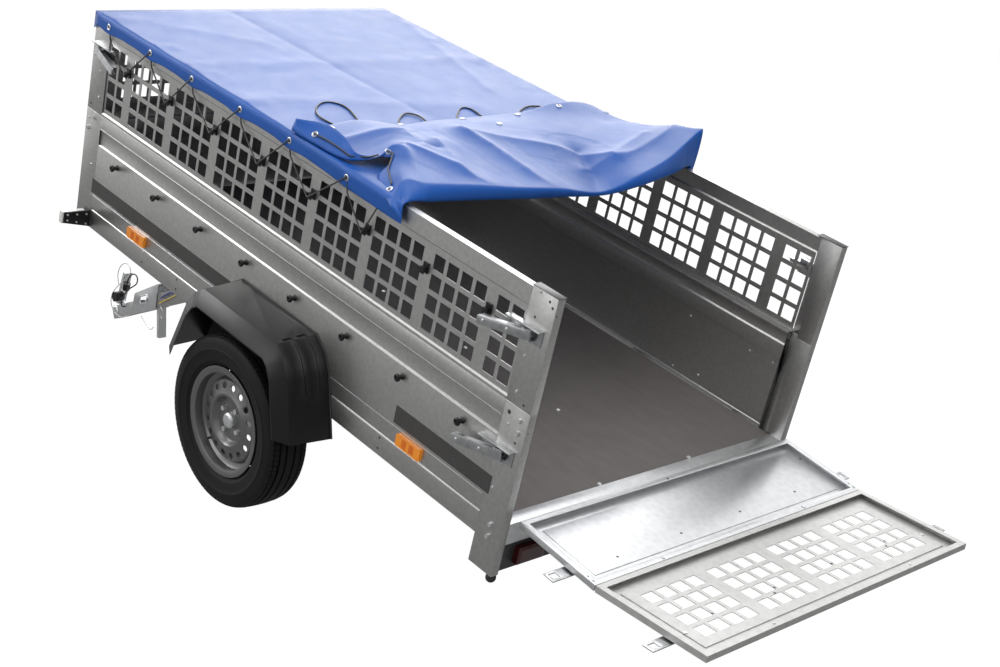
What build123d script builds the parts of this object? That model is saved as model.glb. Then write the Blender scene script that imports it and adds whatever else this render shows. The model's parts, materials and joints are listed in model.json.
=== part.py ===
from build123d import *
from math import acos, asin, atan2, cos, degrees, hypot, radians, sin, tan
import os

# Single-axle tipping garden trailer, parked unhitched: bed tipped back on its rear stoppers,
# tailgate open with its mesh flap on the ground, drawbar hanging from its pivot.
# The bed is drawn level first (x forward from the rear posts, y left, z up from the load floor)
# and then tipped and stood on the ground. Millimetres.

# Bed box
bed_length = 2400
bed_width = 1306
wall_top = 707
board_top = 357
board_bottom = -77
sheet = 2
flange = 25
floor_thickness = 9
floor_gap = 3
sill_depth = 48
sill_height = 70

# Corner posts
post_face = 100
post_return = 28
post_inner = 60
post_sheet = 2.5
rear_post_bottom = -172
front_post_bottom = -77
cap_height = 2

# Pressed grooves of the walls. Columns: upper edge, lower edge, depth
board_grooves = [(306, 245, 5), (2, -8, 3)]
mesh_grooves = [(648, 366, 5)]

# Mesh pattern, the same in the sides, the front and the flap
cell = 47
column_pitch = 59.8
group_pitch = 273.7
row_pitch = 62.6
cell_rows = 4
group_columns = 4
mesh_bottom = 387
mesh_top_gap = 5

# Frame under the floor
member_width = 40
member_height = 66

# Wheels and axle
wheel_x = 1131
wheel_y = 743
wheel_z = -243
tyre_radius = 288
tyre_half_width = 76
sidewall_radius = 246
tread_half_width = 60
rim_radius = 184
rim_half_width = 66
rim_flange = 8
rim_well = 18
bead_radius = 165.7
rim_sheet = 4
rim_offset = 28
disc_bulge = 50
vent_band = 18
vent_holes = 16
vent_sides = 10
vent_radius = 11
vent_circle = 117
hub_radius = 45
hub_flange_radius = 62
hub_flange = 12
hub_cap_radius = 26
hub_cap_length = 24
hub_cap_edge = 6
hub_seat = 8
stub_radius = 15
axle_x = 1271
axle_z = -190
axle_tube = 60
axle_tube_wall = 4
axle_half_length = 582
arm_thickness = 20
arm_width = 56
axle_bracket_y = 440
axle_bracket_width = 90
axle_bracket_sheet = 6
axle_bracket_foot = 60

# Fenders. Columns of the arch at the wall: half length, height, from the crown outwards and down
fender_arch = [(205, 152), (258, 116), (296, 58), (362, -140)]
fender_bottom = -140
fender_outer_y = 837
fender_crease_y = 806
fender_crease_inset = 12
fender_opening_inset = 62
fender_wall = 4
fender_pad = (230, 90)
fender_pad_depth = 1.5
fender_pad_back = 62
fender_grooves = [705, 758]
fender_groove_width = 32
fender_groove_depth = 4
fender_groove_bottom = 0
fender_groove_start = 186

# Rear stoppers and lamp board
stopper_radius = 16
stopper_stem = 9
stopper_x = 18
stopper_y = 632
stopper_z = -188
lamp_board_bottom = -165
lamp_board_x = 8
lamp_board_sheet = 3
lamp_board_lip = 32
lamp_width = 105
lamp_height = 55
lamp_depth = 26
lamp_edge = 8
lamp_y = 520

# Drawbar
pivot_x = 1839
pivot_z = -113
pivot_radius = 12
drawbar_tube = 60
drawbar_wall = 3
drawbar_tail = 45
sleeve_wall = 8
drawbar_reach = 1075
drawbar_hang = 32.4
pivot_member_offset = 31
ear_gap = 6
ear_thickness = 6
ear_width = 80
ear_drop = 32
bolt_head = 8
lock_ear_back = 70
lock_hole = 8
lock_foot = 40
lock_foot_seat = 1
nose_sheet = 3.5
nose_half_width = 34
nose_slot = (80, 38)
nose_slot_middle = (63, 20)
nose_rim = 12
nose_rim_height = 2.5
ball_x = 328
ball_radius = 25.25
ball_cup_depth = 30
head_radius = 38
head_bottom = -32
head_top = 30
head_chamfer = 12
neck_start = 160
neck_top = 24
neck_sheet = 4
lever_length = 165
lever_width = 38
lever_depth = 13
lever_sheet = 3
lever_lean = 132
lever_back = 8
socket_radius = 22
socket_length = 40
socket_back = 63
socket_z = 60
plug_radius = 16
plug_length = 34
prop_width = 36
prop_depth = 18
prop_sheet = 3
prop_length = 178
prop_lean = 20
prop_x = -35
prop_root = 40

# Side outline of the pressed drawbar nose, from the top of its rear edge forwards and round.
# Columns: distance beyond the end of the drawbar's tube, height above its middle line
nose_outline = [(-71, 70), (131, 56), (197, -32), (-15, -32)]

# Loose cords on the nose. Columns: distance beyond the end of the tube, across, height
lead_diameter = 6
lead_route = [(237, 30.6, 10), (237, 46, 10), (230, 50, 28), (213, 46, 50), (187, 40, 70), (161, 35, 81),
              (139, 30, 86), (113, 26, 92), (101, 23, 112), (111, 21, 132), (135, 20, 140), (163, 20, 136),
              (187, 20, 124), (201, 20, 108)]
breakaway_diameter = 4
breakaway_route = [(187, 36.3, -29), (228, 46, -38), (270, 46, -32), (310, 46, -8), (331, 46, 38),
                   (301, 46, 80), (245, 41, 106), (195, 35, 121), (157, 30, 133), (137, 27, 155),
                   (145, 26, 180), (171, 26, 194), (210, 26, 192), (245, 26, 172), (267, 25, 140), (271, 22, 108)]

# Tailgate, drawn closed, and its mesh flap
gate_half_width = 617.5
gate_x = 2
gate_depth = 20
gate_bottom = 8
gate_top = 318
gate_rail = 20
leaf_field_edge = 46
leaf_field_rise = 3
flap_gap = 6
flap_length = 395
hinge_x = -9
hinge_z = -6
knuckle_radius = 6
knuckle_length = 30
pin_radius = 3
hinge_rows = [-450, 0, 450]
gate_open_angle = 93.2
flap_hinge_x = -4
flap_knuckle_radius = 5
flap_hinge_rows = [-310, 310]
keeper_reach = 72
keeper_width = 40
keeper_sheet = 4
keeper_stand_off = 7
keeper_root = 22
keeper_overlap = 50
keeper_hole = (26, 22)
keeper_hole_back = 24
lower_keeper_z = 215
upper_keeper_z = 585

# Fittings on the walls
button_radius = 13
button_stem = 8
button_length = 26
button_z = 213
button_sides = 10
hook_z = 567
hook_base = (22, 32, 5)
hook_tongue = (16, 8, 18)
hook_tip = 16
marker_length = 112
marker_height = 40
marker_depth = 12
marker_edge = 6
marker_z = 24
marker_rows = [424, 1976]
latch_rows = [577, 204]
latch_plate_x = 22
latch_plate_length = 130
latch_plate_height = 48
latch_sheet = 3
latch_flange = 24
latch_pin_x = 64
latch_pin_radius = 4
latch_stand_off = 17
latch_clevis_length = 30
latch_lever = 180
latch_lever_height = 28
latch_lever_depth = 9
latch_lever_sheet = 2.5
latch_drop = 8
latch_swing = 10

# Front position lamps on plates that stand out from the front posts
lamp_bracket_back = 100
lamp_bracket_reach = 108
lamp_bracket_top = -11
lamp_bracket_root = 64
lamp_bracket_end = 40
lamp_bracket_sheet = 4
lamp_bracket_foot = 40
lamp_lens_depth = 24
lamp_lens_length = 84
lamp_lens_height = 44
lamp_lens_out = 6
lamp_lens_up = 2
lamp_lens_edge = 8

# Cover, with its rear end laid back over itself
cover_sheet = 2.5
cover_rear = 666
cover_overhang = 4
skirt_depth = 60
fold_sheet = 4
# Columns: across, rear edge, front hem, height behind, height halfway, height at the hem
fold_sections = [(648, 690, 1195, 34, 42, 14), (250, 655, 1165, 30, 46, 12), (-250, 640, 1165, 46, 58, 14),
                 (-520, 640, 1190, 62, 54, 16), (-648, 672, 1200, 118, 62, 14)]

# Slack loops of the cover's cord, lying on the cover. Columns: along, across, height above the cover
cover_cord_diameter = 6
cover_cords = {
    "cover_cord_left": [(1236, 470, 3.5), (1262, 478, 5), (1296, 482, 6), (1332, 472, 6), (1366, 450, 6),
                        (1398, 420, 6), (1422, 384, 6), (1424, 350, 6), (1400, 326, 6), (1364, 322, 6),
                        (1324, 334, 6),
                        (1284, 350, 6), (1246, 362, 5), (1224, 368, 3.5)],
    "cover_cord_middle": [(1196, 240, 3.5), (1222, 218, 5), (1252, 188, 6), (1276, 158, 6), (1288, 128, 6),
                          (1272, 106, 6), (1244, 102, 6), (1218, 106, 5), (1196, 112, 3.5)],
    "cover_cord_right": [(1198, -16, 3.5), (1226, -40, 5), (1258, -74, 6), (1292, -110, 6), (1306, -140, 6),
                         (1288, -160, 6), (1258, -158, 6), (1228, -152, 5), (1198, -150, 3.5)],
    "cover_cord_far": [(1200, -300, 3.5), (1228, -336, 5), (1256, -376, 6), (1276, -420, 6), (1276, -464, 6),
                       (1254, -496, 6), (1228, -514, 5), (1200, -524, 3.5)],
}

# Middles of the cross members along the bed
member_rows = [250, 690, axle_x, pivot_x + pivot_member_offset, bed_length - 125]

running_gap = 0.06
seat_gap = 0.3
ground_gap = 0.5

wall_y = bed_width / 2
post_inner_y = wall_y - post_return
side_groups = int((bed_length - 2 * post_face) / group_pitch) - 1
end_groups = int(2 * post_inner_y / group_pitch)
hook_rows = [bed_length / 2 + (k - side_groups / 2) * group_pitch for k in range(side_groups + 1)]
cover_z = wall_top + cap_height
lamp_bracket_x = bed_length - lamp_bracket_back
lock_ear_x = bed_length - lock_ear_back


def block(x0, x1, y0, y1, z0, z1):
    middle = Pos((x0 + x1) / 2, (y0 + y1) / 2, (z0 + z1) / 2)
    return middle * Box(abs(x1 - x0), abs(y1 - y0), abs(z1 - z0))


def rod_y(x, z, radius, y0, y1):
    return Pos(x, (y0 + y1) / 2, z) * Rot(90, 0, 0) * Cylinder(radius, abs(y1 - y0))


def other_side(shape):
    return mirror(shape, about=Plane.XZ)


def both_sides(shape):
    return [shape, other_side(shape)]


def joined(shapes):
    result = shapes[0]
    for shape in shapes[1:]:
        result = result + shape
    return result


def wall_section(top, bottom, grooves):
    # Closed outline of a pressed sheet: (depth behind the outer face, height)
    face = []
    for high, low, depth in grooves:
        face += [(0, high), (depth, high - depth), (depth, low + depth), (0, low)]
    back = [(depth + sheet, height) for depth, height in reversed(face)]
    outline = [(flange, top), (0, top)] + face + [(0, bottom), (flange, bottom)]
    outline += [(flange, bottom + sheet), (sheet, bottom + sheet)] + back
    return outline + [(sheet, top - sheet), (flange, top - sheet)]


def side_wall(top, bottom, grooves):
    outline = [(post_face, wall_y - depth, z) for depth, z in wall_section(top, bottom, grooves)]
    face = make_face(Polyline(*outline, close=True))
    return extrude(face, amount=bed_length - 2 * post_face, dir=(1, 0, 0))


def front_wall(top, bottom, grooves):
    outline = [(bed_length - depth, -post_inner_y, z) for depth, z in wall_section(top, bottom, grooves)]
    face = make_face(Polyline(*outline, close=True))
    return extrude(face, amount=2 * post_inner_y, dir=(0, 1, 0))


def cell_columns(middle, groups):
    # Middles of the mesh columns: whole groups, and half a group beyond each end
    first = middle - (groups - 1) / 2 * group_pitch
    offsets = [(c - (group_columns - 1) / 2) * column_pitch for c in range(group_columns)]
    whole = [first + g * group_pitch + offset for g in range(groups) for offset in offsets]
    before = [first - group_pitch + offset for offset in offsets[group_columns // 2:]]
    after = [first + groups * group_pitch + offset for offset in offsets[:group_columns // 2]]
    return before + whole + after


def cell_heights(bottom):
    return [bottom + cell / 2 + row * row_pitch for row in range(cell_rows)]


def side_mesh():
    panel = side_wall(wall_top - mesh_top_gap, board_top, mesh_grooves)
    reach = flange
    cuts = [Pos(x, wall_y - reach / 2, z) * Box(cell, reach, cell)
            for x in cell_columns(bed_length / 2, side_groups) for z in cell_heights(mesh_bottom)]
    return panel - cuts


def front_mesh():
    panel = front_wall(wall_top - mesh_top_gap, board_top, mesh_grooves)
    reach = flange
    cuts = [Pos(bed_length - reach / 2, y, z) * Box(reach, cell, cell)
            for y in cell_columns(0, end_groups) for z in cell_heights(mesh_bottom)
            if abs(y) + cell < post_inner_y]
    return panel - cuts


def post(bottom, top):
    # Rear left post: folded channel, open towards the front
    side = block(0, post_face, wall_y - post_sheet, wall_y, bottom, top)
    rear = block(0, post_sheet, post_inner_y, wall_y, bottom, top)
    inner = block(0, post_inner, post_inner_y, post_inner_y + post_sheet, bottom, top)
    return joined([side, rear, inner])


def front_of(shape):
    return mirror(shape, about=Plane.YZ.offset(bed_length / 2))


def corner_posts():
    rear = post(rear_post_bottom, board_top)
    front = front_of(post(front_post_bottom, board_top))
    return both_sides(rear) + both_sides(front)


def mesh_posts():
    rear = post(board_top, wall_top)
    return both_sides(rear) + both_sides(front_of(rear))


def post_caps():
    lip = 2
    cap = block(-lip, post_face + lip, post_inner_y - lip, wall_y + lip, wall_top, wall_top + cap_height)
    return both_sides(cap) + both_sides(front_of(cap))


def rear_sill():
    top = block(0, sill_depth, -post_inner_y, post_inner_y, -sheet, 0)
    back = block(0, sheet, -post_inner_y, post_inner_y, -sill_height, 0)
    foot = block(0, flange, -post_inner_y, post_inner_y, -sill_height, -sill_height + sheet)
    return joined([top, back, foot])


def floor_panel():
    half = post_inner_y - floor_gap
    return block(sill_depth, bed_length - flange - floor_gap, -half, half, -floor_thickness, 0)


def cross_members():
    half = wall_y - sheet
    top = -floor_thickness
    members = []
    for x in member_rows:
        low, high = x - member_width / 2, x + member_width / 2
        web = block(low, low + sheet, -half, half, top - member_height, top)
        upper = block(low, high, -half, half, top - sheet, top)
        lower = block(low, high, -half, half, top - member_height, top - member_height + sheet)
        members.append(joined([web, upper, lower]))
    return members


def lamp_board():
    back, low = lamp_board_x, lamp_board_bottom
    plate = block(back, back + lamp_board_sheet, -post_inner_y, post_inner_y, low, -sill_height)
    lip = block(back, back + lamp_board_lip, -post_inner_y, post_inner_y, low, low + lamp_board_sheet)
    return plate + lip


def rear_lamps():
    z = (lamp_board_bottom - sill_height) / 2
    lamp = block(lamp_board_x - lamp_depth, lamp_board_x, lamp_y - lamp_width / 2, lamp_y + lamp_width / 2,
                 z - lamp_height / 2, z + lamp_height / 2)
    lamp = fillet(lamp.edges().group_by(Axis.X)[0], lamp_edge)
    return both_sides(lamp)


def stoppers():
    ball = Pos(stopper_x, stopper_y, stopper_z) * Sphere(stopper_radius)
    plate_top = rear_post_bottom
    middle = (stopper_z + plate_top) / 2
    stem = Pos(stopper_x, stopper_y, middle) * Cylinder(stopper_stem, plate_top - stopper_z)
    return both_sides(ball + stem)


def axle_beam():
    outer = block(axle_x - axle_tube / 2, axle_x + axle_tube / 2, -axle_half_length, axle_half_length,
                  axle_z - axle_tube / 2, axle_z + axle_tube / 2)
    hollow = axle_tube / 2 - axle_tube_wall
    inner = block(axle_x - hollow, axle_x + hollow, -axle_half_length, axle_half_length,
                  axle_z - hollow, axle_z + hollow)
    return outer - inner


def axle_brackets():
    half = axle_bracket_width / 2
    top = -floor_thickness - member_height
    bottom = axle_z + axle_tube / 2
    web = block(axle_x - half, axle_x + half, axle_bracket_y, axle_bracket_y + axle_bracket_sheet, bottom, top)
    foot = block(axle_x - half, axle_x + half, axle_bracket_y, axle_bracket_y + axle_bracket_foot,
                 bottom, bottom + axle_bracket_sheet)
    return both_sides(web + foot)


def axle_arms():
    run = hypot(axle_x - wheel_x, axle_z - wheel_z)
    lean = degrees(atan2(axle_z - wheel_z, axle_x - wheel_x))
    slot = SlotCenterToCenter(run, arm_width)
    plate = extrude(Plane.XZ * (Rot(0, 0, lean) * slot), amount=-arm_thickness)
    middle = Pos((axle_x + wheel_x) / 2, axle_half_length, (axle_z + wheel_z) / 2)
    stub_end = wheel_y + rim_offset - rim_sheet - hub_flange
    stub = rod_y(wheel_x, wheel_z, stub_radius, axle_half_length, stub_end)
    return both_sides(middle * plate + stub)


def fender_section(y, inset):
    # Arch outline at one station across the fender, pulled in evenly, with legs below its lower edge
    leg = 2 * fender_opening_inset
    last, before = fender_arch[-1], fender_arch[-2]
    spread = (last[0] - before[0]) / (before[1] - last[1])
    arch = fender_arch[:-1] + [(last[0] + spread * leg, last[1] - leg)]
    right = [(wheel_x + half, height) for half, height in arch]
    left = [(wheel_x - half, height) for half, height in reversed(arch)]
    plane = Plane(origin=(0, y, 0), x_dir=(1, 0, 0), z_dir=(0, -1, 0))
    outline = make_face(plane * Polyline(*left, *right, close=True))
    return offset(outline, amount=-inset, kind=Kind.INTERSECTION) if inset else outline


def fender_shape(inset):
    stations = [(wall_y + seat_gap, inset), (fender_crease_y - inset, fender_crease_inset + inset),
                (fender_outer_y, fender_opening_inset + inset)]
    return loft([fender_section(y, pull) for y, pull in stations], ruled=True)


def fender_groove(y, inset):
    # Pressed channel over the slanted and upright faces at the rear, one wall wider inside
    half = fender_groove_width / 2 + inset
    reach = 2 * fender_arch[-1][0]
    slot = block(wheel_x - reach, wheel_x - fender_groove_start + inset, y - half, y + half,
                 fender_groove_bottom - inset, reach)
    return slot - fender_shape(fender_groove_depth + inset)


def grooved(inset):
    return fender_shape(inset) - [fender_groove(y, inset) for y in fender_grooves]


def fender():
    pad_length, pad_width = fender_pad
    crown = fender_arch[0][1]
    pad_y = wall_y + fender_pad_back
    pad = block(wheel_x - pad_length / 2, wheel_x + pad_length / 2, pad_y - pad_width / 2, pad_y + pad_width / 2,
                crown - fender_pad_depth, crown + fender_wall)
    reach = 2 * fender_arch[-1][0]
    below = block(wheel_x - reach, wheel_x + reach, wall_y, fender_outer_y + fender_wall, -reach, fender_bottom)
    return grooved(0) - grooved(fender_wall) - pad - below


def wheel_place(shape):
    return Pos(wheel_x, wheel_y, wheel_z) * shape


def turned(outline):
    # Revolves an outline of (radius, distance outboard) about the wheel's axle
    return revolve(make_face(Polyline(*[(r, a, 0) for r, a in outline], close=True)), Axis.Y)


def tyre():
    bead = rim_half_width - rim_flange - 2
    half = [(bead_radius + seat_gap, bead), (sidewall_radius, tyre_half_width),
            (tyre_radius, tread_half_width)]
    outline = half + [(r, -a) for r, a in reversed(half)]
    return wheel_place(turned(outline))


def rim():
    w, inner = rim_half_width, bead_radius - rim_sheet
    well = bead_radius - rim_well
    half = [(rim_radius, w), (rim_radius, w - rim_sheet), (bead_radius, w - rim_flange), (bead_radius, w / 2),
            (well, w / 3)]
    lining = [(well - rim_sheet, w / 3), (inner, w / 2), (inner, w - rim_sheet), (rim_radius - rim_sheet, w)]
    outline = half + [(r, -a) for r, a in reversed(half)]
    outline += [(r, -a) for r, a in reversed(lining)] + lining
    barrel = turned(outline)
    lip = well - rim_sheet / 2
    crest = vent_circle - vent_band
    front = [(lip, w / 3), (vent_circle + vent_band, (rim_offset + disc_bulge) / 2),
             (crest, disc_bulge - rim_sheet), (crest - rim_flange, disc_bulge),
             (crest - 2 * rim_flange, disc_bulge),
             (hub_flange_radius + rim_flange, rim_offset), (hub_cap_radius + seat_gap, rim_offset)]
    disc = turned(front + [(r, a - rim_sheet) for r, a in reversed(front)])
    vent = extrude(Plane.XZ * RegularPolygon(vent_radius, vent_sides), amount=2 * rim_half_width, both=True)
    vents = [Rot(0, k * 360 / vent_holes, 0) * Pos(vent_circle, 0, 0) * vent for k in range(vent_holes)]
    return wheel_place(barrel + (disc - vents))


def hub():
    face = rim_offset - rim_sheet
    back = axle_half_length + arm_thickness + hub_seat - wheel_y
    outline = [(0, back), (hub_radius, back), (hub_radius, face - hub_flange),
               (hub_flange_radius, face - hub_flange), (hub_flange_radius, face), (hub_cap_radius, face),
               (hub_cap_radius, face + hub_cap_length - hub_cap_edge),
               (hub_cap_radius - hub_cap_edge, face + hub_cap_length), (0, face + hub_cap_length)]
    depth = face - hub_seat - back
    bore = Pos(0, back + depth / 2, 0) * Rot(90, 0, 0) * Cylinder(stub_radius + running_gap, depth)
    return wheel_place(turned(outline) - bore)


def on_pivot(shape):
    # Drawbar pieces are drawn in line from the pivot, then hung nose down
    return Pos(pivot_x, 0, pivot_z) * Rot(0, drawbar_hang, 0) * shape


def on_nose(shape):
    # Nose pieces are drawn from the end of the drawbar's tube
    return on_pivot(Pos(drawbar_reach, 0, 0) * shape)


def drawbar_beam():
    half = drawbar_tube / 2
    tube = block(-drawbar_tail, drawbar_reach, -half, half, -half, half)
    inner = half - drawbar_wall
    tube = tube - block(-drawbar_tail, drawbar_reach, -inner, inner, -inner, inner)
    sleeve = rod_y(0, 0, pivot_radius + sleeve_wall, -half, half)
    return on_pivot(tube + sleeve - rod_y(0, 0, pivot_radius + running_gap, -half, half))


def drawbar_nose():
    # Pressed channel over the end of the drawbar, with a rimmed slot in each side
    half, inner = nose_half_width, nose_half_width - nose_sheet
    outline = [(x, -half, z) for x, z in nose_outline]
    channel = extrude(make_face(Polyline(*outline, close=True)), amount=2 * half, dir=(0, 1, 0))
    (rear_x, rear_z), (front_x, front_z) = nose_outline[:2]
    slope = degrees(atan2(rear_z - front_z, front_x - rear_x))
    length = nose_outline[2][0] - rear_x
    hollow = Pos(rear_x, 0, rear_z) * Rot(0, slope, 0) * block(-length, 2 * length, -inner, inner,
                                                               -2 * rear_z, -nose_sheet)
    slot_length, slot_height = nose_slot
    x, z = nose_slot_middle
    side = Plane(origin=(x, 0, z), x_dir=(1, 0, 0), z_dir=(0, -1, 0))
    proud = half + nose_rim_height
    rim_ring = extrude(side * SlotOverall(slot_length, slot_height), amount=proud, both=True)
    slot = extrude(side * SlotOverall(slot_length - nose_rim, slot_height - nose_rim), amount=proud, both=True)
    return on_nose(channel + rim_ring - hollow - slot)


def coupling_body():
    # Ball head on a hollow neck that is bolted into the drawbar nose
    head = Pos(ball_x, 0, (head_top + head_bottom) / 2) * Cylinder(head_radius, head_top - head_bottom)
    head = chamfer(head.edges().group_by(Axis.Z)[-1], head_chamfer)
    half = nose_half_width - nose_sheet - seat_gap
    neck = block(neck_start, ball_x, -half, half, head_bottom, neck_top)
    inner = half - neck_sheet
    neck = neck - block(neck_start, ball_x, -inner, inner, head_bottom, neck_top - neck_sheet)
    cup = Pos(ball_x, 0, head_bottom + ball_cup_depth / 2) * Cylinder(ball_radius, ball_cup_depth)
    return on_nose(neck + head - cup)


def coupling_handle():
    # Lever of the ball catch, a channel standing raised on the head
    half = lever_width / 2
    web = block(0, lever_length, -half, half, 0, lever_sheet)
    cheek = block(0, lever_length, half - lever_sheet, half, -lever_depth, 0)
    lever = joined([web, cheek, other_side(cheek)])
    raised = Pos(ball_x - lever_back, 0, head_top) * Rot(0, -lever_lean, 0) * lever
    below = block(ball_x - lever_length, ball_x + lever_length, -half, half, head_bottom, head_top)
    return on_nose(raised - below)


def coupling_socket():
    # Parking socket for the lead's plug, on the side of the lever
    place = Pos(ball_x - socket_back, lever_width / 2 + socket_length / 2, socket_z)
    return on_nose(place * Rot(90, 0, 0) * Cylinder(socket_radius, socket_length))


def prop_leg():
    # Short channel that the parked drawbar stands on
    half = prop_width / 2
    web = block(0, prop_sheet, -half, half, -prop_length, 0)
    cheek = block(prop_sheet, prop_depth, half - prop_sheet, half, -prop_length, 0)
    leg = joined([web, cheek, other_side(cheek)])
    below = -drawbar_tube / 2
    hung = Pos(prop_x, 0, below + prop_root) * Rot(0, -prop_lean, 0) * leg
    inside = block(prop_x - prop_length, prop_x + prop_length, -half, half, below, below + prop_length)
    return on_nose(hung - inside)


def cord_tube(route, diameter):
    # Round cord along straight runs joined by the widest arcs that they allow
    points = [Vector(*point) for point in route]
    radii = []
    for before, corner, after in zip(points, points[1:], points[2:]):
        turn = (corner - before).get_angle(after - corner)
        run = min((corner - before).length, (after - corner).length)
        radii.append(0.45 * run / tan(radians(turn / 2)))
    path = FilletPolyline(*points, radius=radii)
    section = Plane(origin=points[0], z_dir=points[1] - points[0]) * Circle(diameter / 2)
    tube = sweep(section, path=path)
    share = tube.volume / (section.area * path.length)
    print(f"cord {path.length:.0f} mm long, least radius {min(radii):.0f} mm, volume share {share:.3f}")
    return tube


def lead_plug():
    end = Vector(*lead_route[-1])
    way = (end - Vector(*lead_route[-2])).normalized()
    return on_nose(Plane(origin=end + way * plug_length / 2, z_dir=way) * Cylinder(plug_radius, plug_length))


def pivot_ears():
    half = drawbar_tube / 2 + ear_gap
    top = -floor_thickness - member_height
    ear = block(pivot_x - ear_width / 2, pivot_x + ear_width / 2, half, half + ear_thickness,
                pivot_z - ear_drop, top)
    end = half + ear_thickness + bolt_head
    return joined([ear, other_side(ear), rod_y(pivot_x, pivot_z, pivot_radius, -end, end)])


def lock_ears():
    half = drawbar_tube / 2 + ear_gap
    top = board_bottom
    ear = block(lock_ear_x - ear_width / 2, lock_ear_x + ear_width / 2, half, half + ear_thickness,
                pivot_z - ear_drop, top)
    foot = block(lock_ear_x - ear_width / 2, bed_length - lock_foot_seat, half, half + lock_foot,
                 top - ear_thickness, top)
    return both_sides(ear + foot - rod_y(lock_ear_x, pivot_z, lock_hole, half, half + ear_thickness))


def hinge_set(x, z, rows, radius, foot):
    # Outer knuckles and their pin, on a foot plate
    sets = []
    for y in rows:
        pin = rod_y(x, z, pin_radius, y - 1.5 * knuckle_length, y + 1.5 * knuckle_length)
        near = rod_y(x, z, radius, y - 1.5 * knuckle_length, y - 0.5 * knuckle_length - seat_gap)
        far = rod_y(x, z, radius, y + 0.5 * knuckle_length + seat_gap, y + 1.5 * knuckle_length)
        near_foot = foot(y - 1.5 * knuckle_length, y - 0.5 * knuckle_length - seat_gap)
        far_foot = foot(y + 0.5 * knuckle_length + seat_gap, y + 1.5 * knuckle_length)
        sets.append(joined([near_foot, near, pin, far, far_foot]))
    return sets


def knuckle_set(x, z, rows, radius, foot):
    # Middle knuckles that turn on the pins
    sets = []
    for y in rows:
        low, high = y - knuckle_length / 2, y + knuckle_length / 2
        bore = rod_y(x, z, pin_radius + running_gap, low, high)
        sets.append(foot(low, high) + rod_y(x, z, radius, low, high) - bore)
    return sets


def opened(shape):
    swing = Pos(hinge_x, 0, hinge_z) * Rot(0, -gate_open_angle, 0) * Pos(-hinge_x, 0, -hinge_z)
    return swing * shape


flap_bottom = gate_top + flap_gap
flap_top = flap_bottom + flap_length
flap_hinge_z = gate_top + flap_gap / 2


def tip_angle():
    run, drop = wheel_x - stopper_x, wheel_z - stopper_z
    rise = asin((tyre_radius - stopper_radius) / hypot(run, drop))
    return degrees(rise - atan2(drop, run))


def flap_angle():
    # How far the flap bends in before its outer edge meets the ground
    tip = radians(tip_angle())
    ground = wheel_x * sin(tip) + wheel_z * cos(tip) - tyre_radius
    swing = radians(-gate_open_angle)
    dx, dz = flap_hinge_x - hinge_x, flap_hinge_z - hinge_z
    axis_x = hinge_x + dx * cos(swing) + dz * sin(swing)
    axis_z = hinge_z - dx * sin(swing) + dz * cos(swing)
    axis_height = axis_x * sin(tip) + axis_z * cos(tip)
    edge_x, edge_z = gate_x - flap_hinge_x, flap_top - flap_hinge_z
    reach = hypot(edge_x, edge_z)
    fall = acos((ground + ground_gap - axis_height) / reach)
    return degrees(tip - swing - fall - atan2(edge_x, edge_z))


def bent(shape):
    bend = Pos(flap_hinge_x, 0, flap_hinge_z) * Rot(0, flap_angle(), 0) * Pos(-flap_hinge_x, 0, -flap_hinge_z)
    return opened(bend * shape)


def folded_pan(bottom, top):
    # Sheet with its rims folded up and in again, drawn upright with its back to the rear
    inner_x, outer_x = gate_x + sheet, gate_x + gate_depth
    half = gate_half_width
    window = half - gate_rail
    pan = block(gate_x, outer_x, -half, half, bottom, top)
    pan = pan - block(inner_x, outer_x - sheet, sheet - half, half - sheet, bottom + sheet, top - sheet)
    pan = pan - block(inner_x, outer_x, -window, window, bottom + gate_rail, top - gate_rail)
    low, high = bottom + leaf_field_edge, top - leaf_field_edge
    field = half - keeper_overlap - sheet
    raised = block(inner_x, inner_x + leaf_field_rise, -field, field, low, high)
    hollow = block(gate_x, gate_x + leaf_field_rise, sheet - field, field - sheet, low + sheet, high - sheet)
    return pan + raised - hollow


def gate_leaf():
    return opened(folded_pan(gate_bottom, gate_top))


def flap_panel():
    window = gate_half_width - gate_rail
    middle = (flap_bottom + flap_top) / 2
    first = middle - (cell_rows - 1) / 2 * row_pitch - cell / 2
    cuts = [Pos(gate_x, y, z) * Box(gate_depth, cell, cell)
            for y in cell_columns(0, end_groups) for z in cell_heights(first) if abs(y) + cell < window]
    return bent(folded_pan(flap_bottom, flap_top) - cuts)


def keeper(z):
    outer = gate_x - keeper_stand_off
    low, high = z - keeper_width / 2, z + keeper_width / 2
    inside, outside = gate_half_width - keeper_overlap, gate_half_width + keeper_reach
    plate = block(outer - keeper_sheet, outer, inside, outside, low, high)
    root = block(outer, gate_x, inside, inside + keeper_root, low, high)
    hole = Pos(outer, outside - keeper_hole_back, z) * Box(keeper_sheet * 4, *keeper_hole)
    return plate + root - hole


def gate_knuckle_foot(y0, y1):
    # Strap that goes up behind the sill and turns in to the leaf above it
    strap = block(hinge_x, hinge_x + knuckle_radius, y0, y1, hinge_z, gate_bottom + gate_rail)
    return strap + block(hinge_x, gate_x, y0, y1, gate_bottom, gate_bottom + gate_rail)


def sill_foot(y0, y1):
    return block(hinge_x, 0, y0, y1, hinge_z - knuckle_radius, hinge_z)


def leaf_foot(y0, y1):
    return block(flap_hinge_x, gate_x, y0, y1, gate_top - gate_rail, flap_hinge_z)


def flap_foot(y0, y1):
    return block(flap_hinge_x, gate_x, y0, y1, flap_hinge_z, flap_bottom + gate_rail)


def rope_buttons():
    knob = extrude(RegularPolygon(button_stem, button_sides), amount=button_length,
                   taper=-degrees(atan2(button_radius - button_stem, button_length)))
    buttons = []
    for x in hook_rows:
        buttons += both_sides(Pos(x, wall_y, button_z) * Rot(-90, 0, 0) * knob)
    return buttons


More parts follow.
